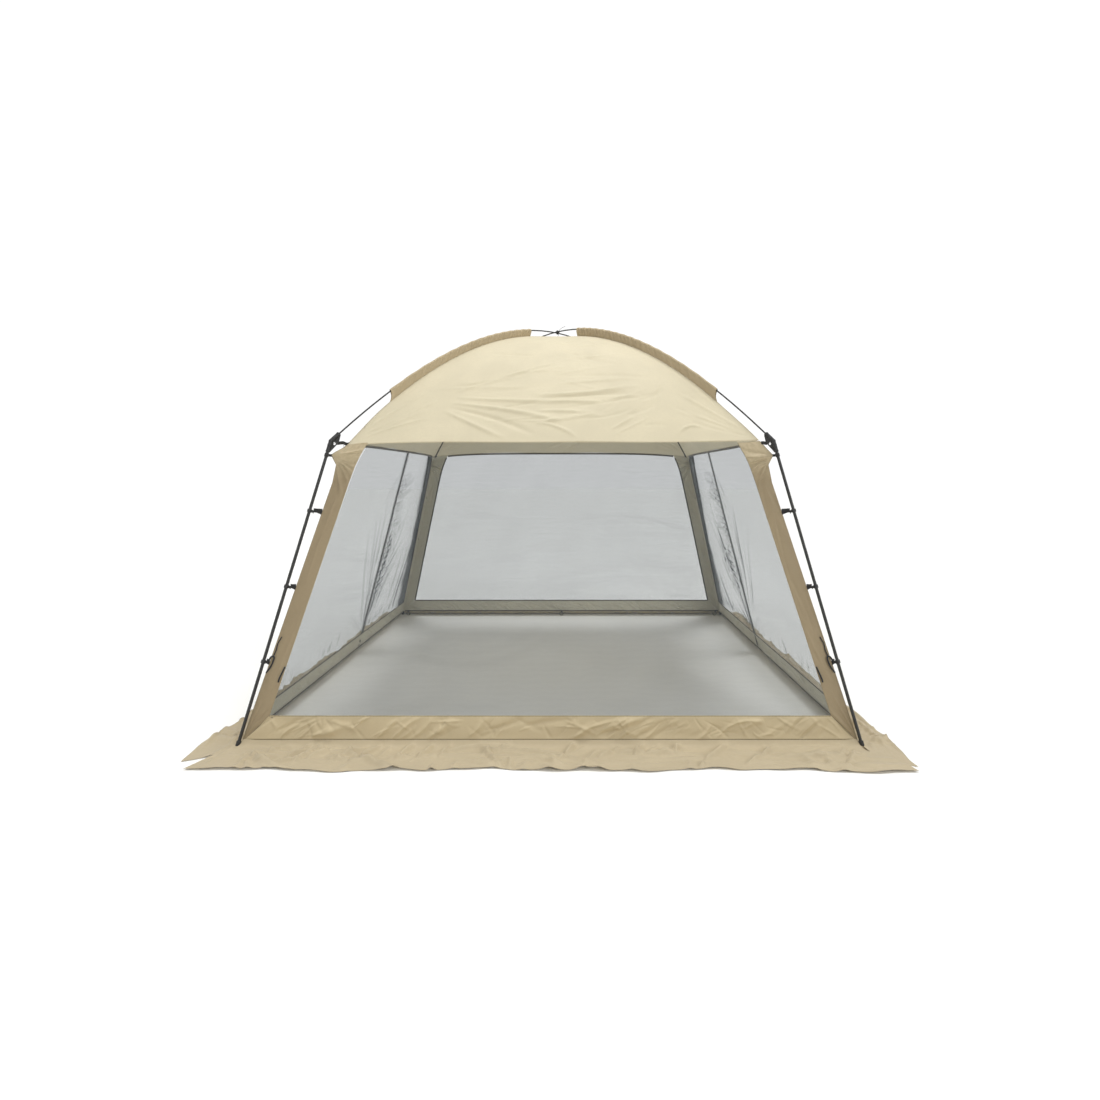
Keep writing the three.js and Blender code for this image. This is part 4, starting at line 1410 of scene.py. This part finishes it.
def make_crown():
    """Cord wound round the crossing of the poles, with its two tails"""
    z = POLE_CROWN_Z + POLE_CROSSING / 2
    wraps = []
    for k in range(4 * 24 + 1):
        angle = 2 * math.pi * k / 24
        slip = 0.0022 * (k / 24 - 2)
        up = math.sin(angle)
        wraps.append((0.0105 * math.cos(angle), slip + 0.003 * up, z + 0.0125 * up))
    knot = tube("crown_knot", turn(wraps, 20), 0.0024, CORD)
    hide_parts("crown_tie")
    across = []
    for k in range(3 * 24 + 1):
        angle = 2 * math.pi * k / 24
        slip = 0.0022 * (k / 24 - 1.5)
        across.append((slip, 0.0115 * math.cos(angle), z + 0.0135 * math.sin(angle)))
    tube("crown_knot_cross", turn(across, -15), 0.0024, CORD)
    long_tail = [(0.010, -0.006, z + 0.008), (0.020, -0.010, z + 0.022), (0.036, -0.013, z + 0.033),
                 (0.056, -0.012, z + 0.041)]
    free_cord("crown_tail_long", long_tail, 0.0014, material=GREY_CORD)
    short_tail = [(0.004, -0.012, z - 0.006), (0.009, -0.020, z - 0.014), (0.006, -0.026, z - 0.026),
                  (0.0, -0.028, z - 0.038)]
    free_cord("crown_tail_short", short_tail, 0.0014, material=GREY_CORD)


def column_face_point(corner, along, z, out):
    """A point in front of the column's front or back face, along it from its corner"""
    front = corner.startswith("front")
    side_sign = 1 if corner.endswith("right") else -1
    half = float(wall_half(z))
    x = side_sign * (half - along)
    y = -(half + out) if front else half + out
    return (x, y, z)


def make_ties(corner):
    """Cords on the column beside the lowest clip, for tying a rolled mesh"""

    def point(along, z, out):
        return column_face_point(corner, along, z, out)

    loop = [point(-0.006, 0.400, 0.004), point(0.004, 0.420, 0.008), point(0.018, 0.418, 0.010),
            point(0.020, 0.398, 0.009), point(0.016, 0.370, 0.007), point(0.004, 0.345, 0.007)]
    free_cord(f"tie_curl_{corner}", loop, 0.0042, material=CORD)
    rise = [point(0.012, 0.424, 0.006), point(0.015, 0.450, 0.006), point(0.012, 0.480, 0.006),
            point(0.020, 0.512, 0.006)]
    free_cord(f"tie_upper_{corner}", rise[::-1], 0.0028, material=CORD)
    short = [point(0.088, 0.372, 0.006), point(0.084, 0.345, 0.007), point(0.080, 0.318, 0.007),
             point(0.081, 0.300, 0.007)]
    free_cord(f"tie_inner_{corner}", short, 0.0040, material=CORD)


def make_floor_loops():
    """Small cord loops and toggles at the foot of the back wall's corners and middle"""
    for name, x, y in (("back_left", -1, 1), ("back_right", 1, 1), ("back_middle", 0, 1)):
        base_x, base_y = x * (BASE_HALF - 0.05), y * (BASE_HALF - 0.030)
        loop = []
        for angle in np.linspace(0, 2 * math.pi, 25):
            up = math.sin(angle)
            loop.append((base_x + 0.016 * math.cos(angle), base_y - 0.004 * up, 0.022 + 0.016 * up))
        tube(f"floor_loop_{name}", loop, 0.0026, CORD)
        toggle = Matrix.Translation((base_x + 0.004, base_y - 0.008, 0.044))
        profile = [(-0.011, 0.004), (-0.009, 0.0065), (0.009, 0.0065), (0.011, 0.004)]
        parts = [lathe(toggle, profile, 16)]
        joined(f"floor_toggle_{name}", parts, "root", PLASTIC, 0.0004)


# --- Build ---------------------------------------------------------------------------------

make_camera()

ROOF = fabric("roof_cream", (0.700, 0.630, 0.455), through=0.22, hem=(0.50, 0.42, 0.27, 1))
SLEEVE = fabric("sleeve_tan", (0.500, 0.405, 0.255), through=0.12)
# The column's tan is darker than the skirt's as painted shade on its upright faces; its lighter top colour is
# painted light
COLUMN = fabric(
    "column_tan", (0.350, 0.275, 0.167), through=0.10, painted_light_top=(0.580, 0.485, 0.315),
)
STRIP = fabric("strip_tan", (0.590, 0.490, 0.310), through=0.10, hem=(0.20, 0.16, 0.09, 1))
SKIRT = fabric(
    "skirt_tan", (0.500, 0.420, 0.280), through=0.05, hem=(0.15, 0.12, 0.08, 1), hem_wide=0.0032
)
COATING = fabric("inside_coating", (0.625, 0.590, 0.475), through=0.0, sheen=0.0, gloss=0.04)
MESH = netting("insect_mesh", 0.300, (0.104, 0.120, 0.128))
BINDING = webbing("dark_binding", (0.060, 0.048, 0.030), 300)
WEBBING = webbing("black_webbing", (0.012, 0.0115, 0.011))
CORD = webbing("black_cord", (0.010, 0.010, 0.010), 600)
GREY_CORD = webbing("grey_cord", (0.10, 0.10, 0.095), 600)
PALE_CORD = webbing("pale_cord", (0.26, 0.26, 0.25), 600)
PLASTIC = moulded("black_nylon", (0.020, 0.020, 0.020))
TUBE_PAINT = painted_tube("black_tube_paint", (0.014, 0.014, 0.013), 0.42)
FIBREGLASS = painted_tube("black_fibreglass", (0.013, 0.013, 0.012), 0.45)
ZIP_COIL = zip_coil("zip_coil", (0.020, 0.020, 0.020))
ZIP_METAL = moulded("zip_black_metal", (0.025, 0.025, 0.025), 0.36)

make_crown()
make_studio()
make_roof()
make_roof_seams()
for corner in CORNERS:
    make_sleeve(corner)
    make_column(corner)
    make_hub(corner)
    make_elbow_strap(corner)
    make_tip_loop(corner)
    for height_name in CLIP_HEIGHTS:
        make_clip(corner, height_name)
    restyle(f"leg_{corner}", TUBE_PAINT)
    restyle(f"foot_cap_{corner}", PLASTIC)
for corner in ("front_left", "front_right"):
    make_ties(corner)
make_walls()
for side in SIDES:
    make_strip(side)
    make_skirt(side)
    make_bindings(side)
for side in ("left", "right"):
    make_zip(side)
    restyle(f"zip_slider_{side}", ZIP_METAL)
    restyle(f"zip_pull_{side}", ZIP_METAL)
make_floor_loops()
restyle("roof_pole_lower", FIBREGLASS)
restyle("roof_pole_upper", FIBREGLASS)
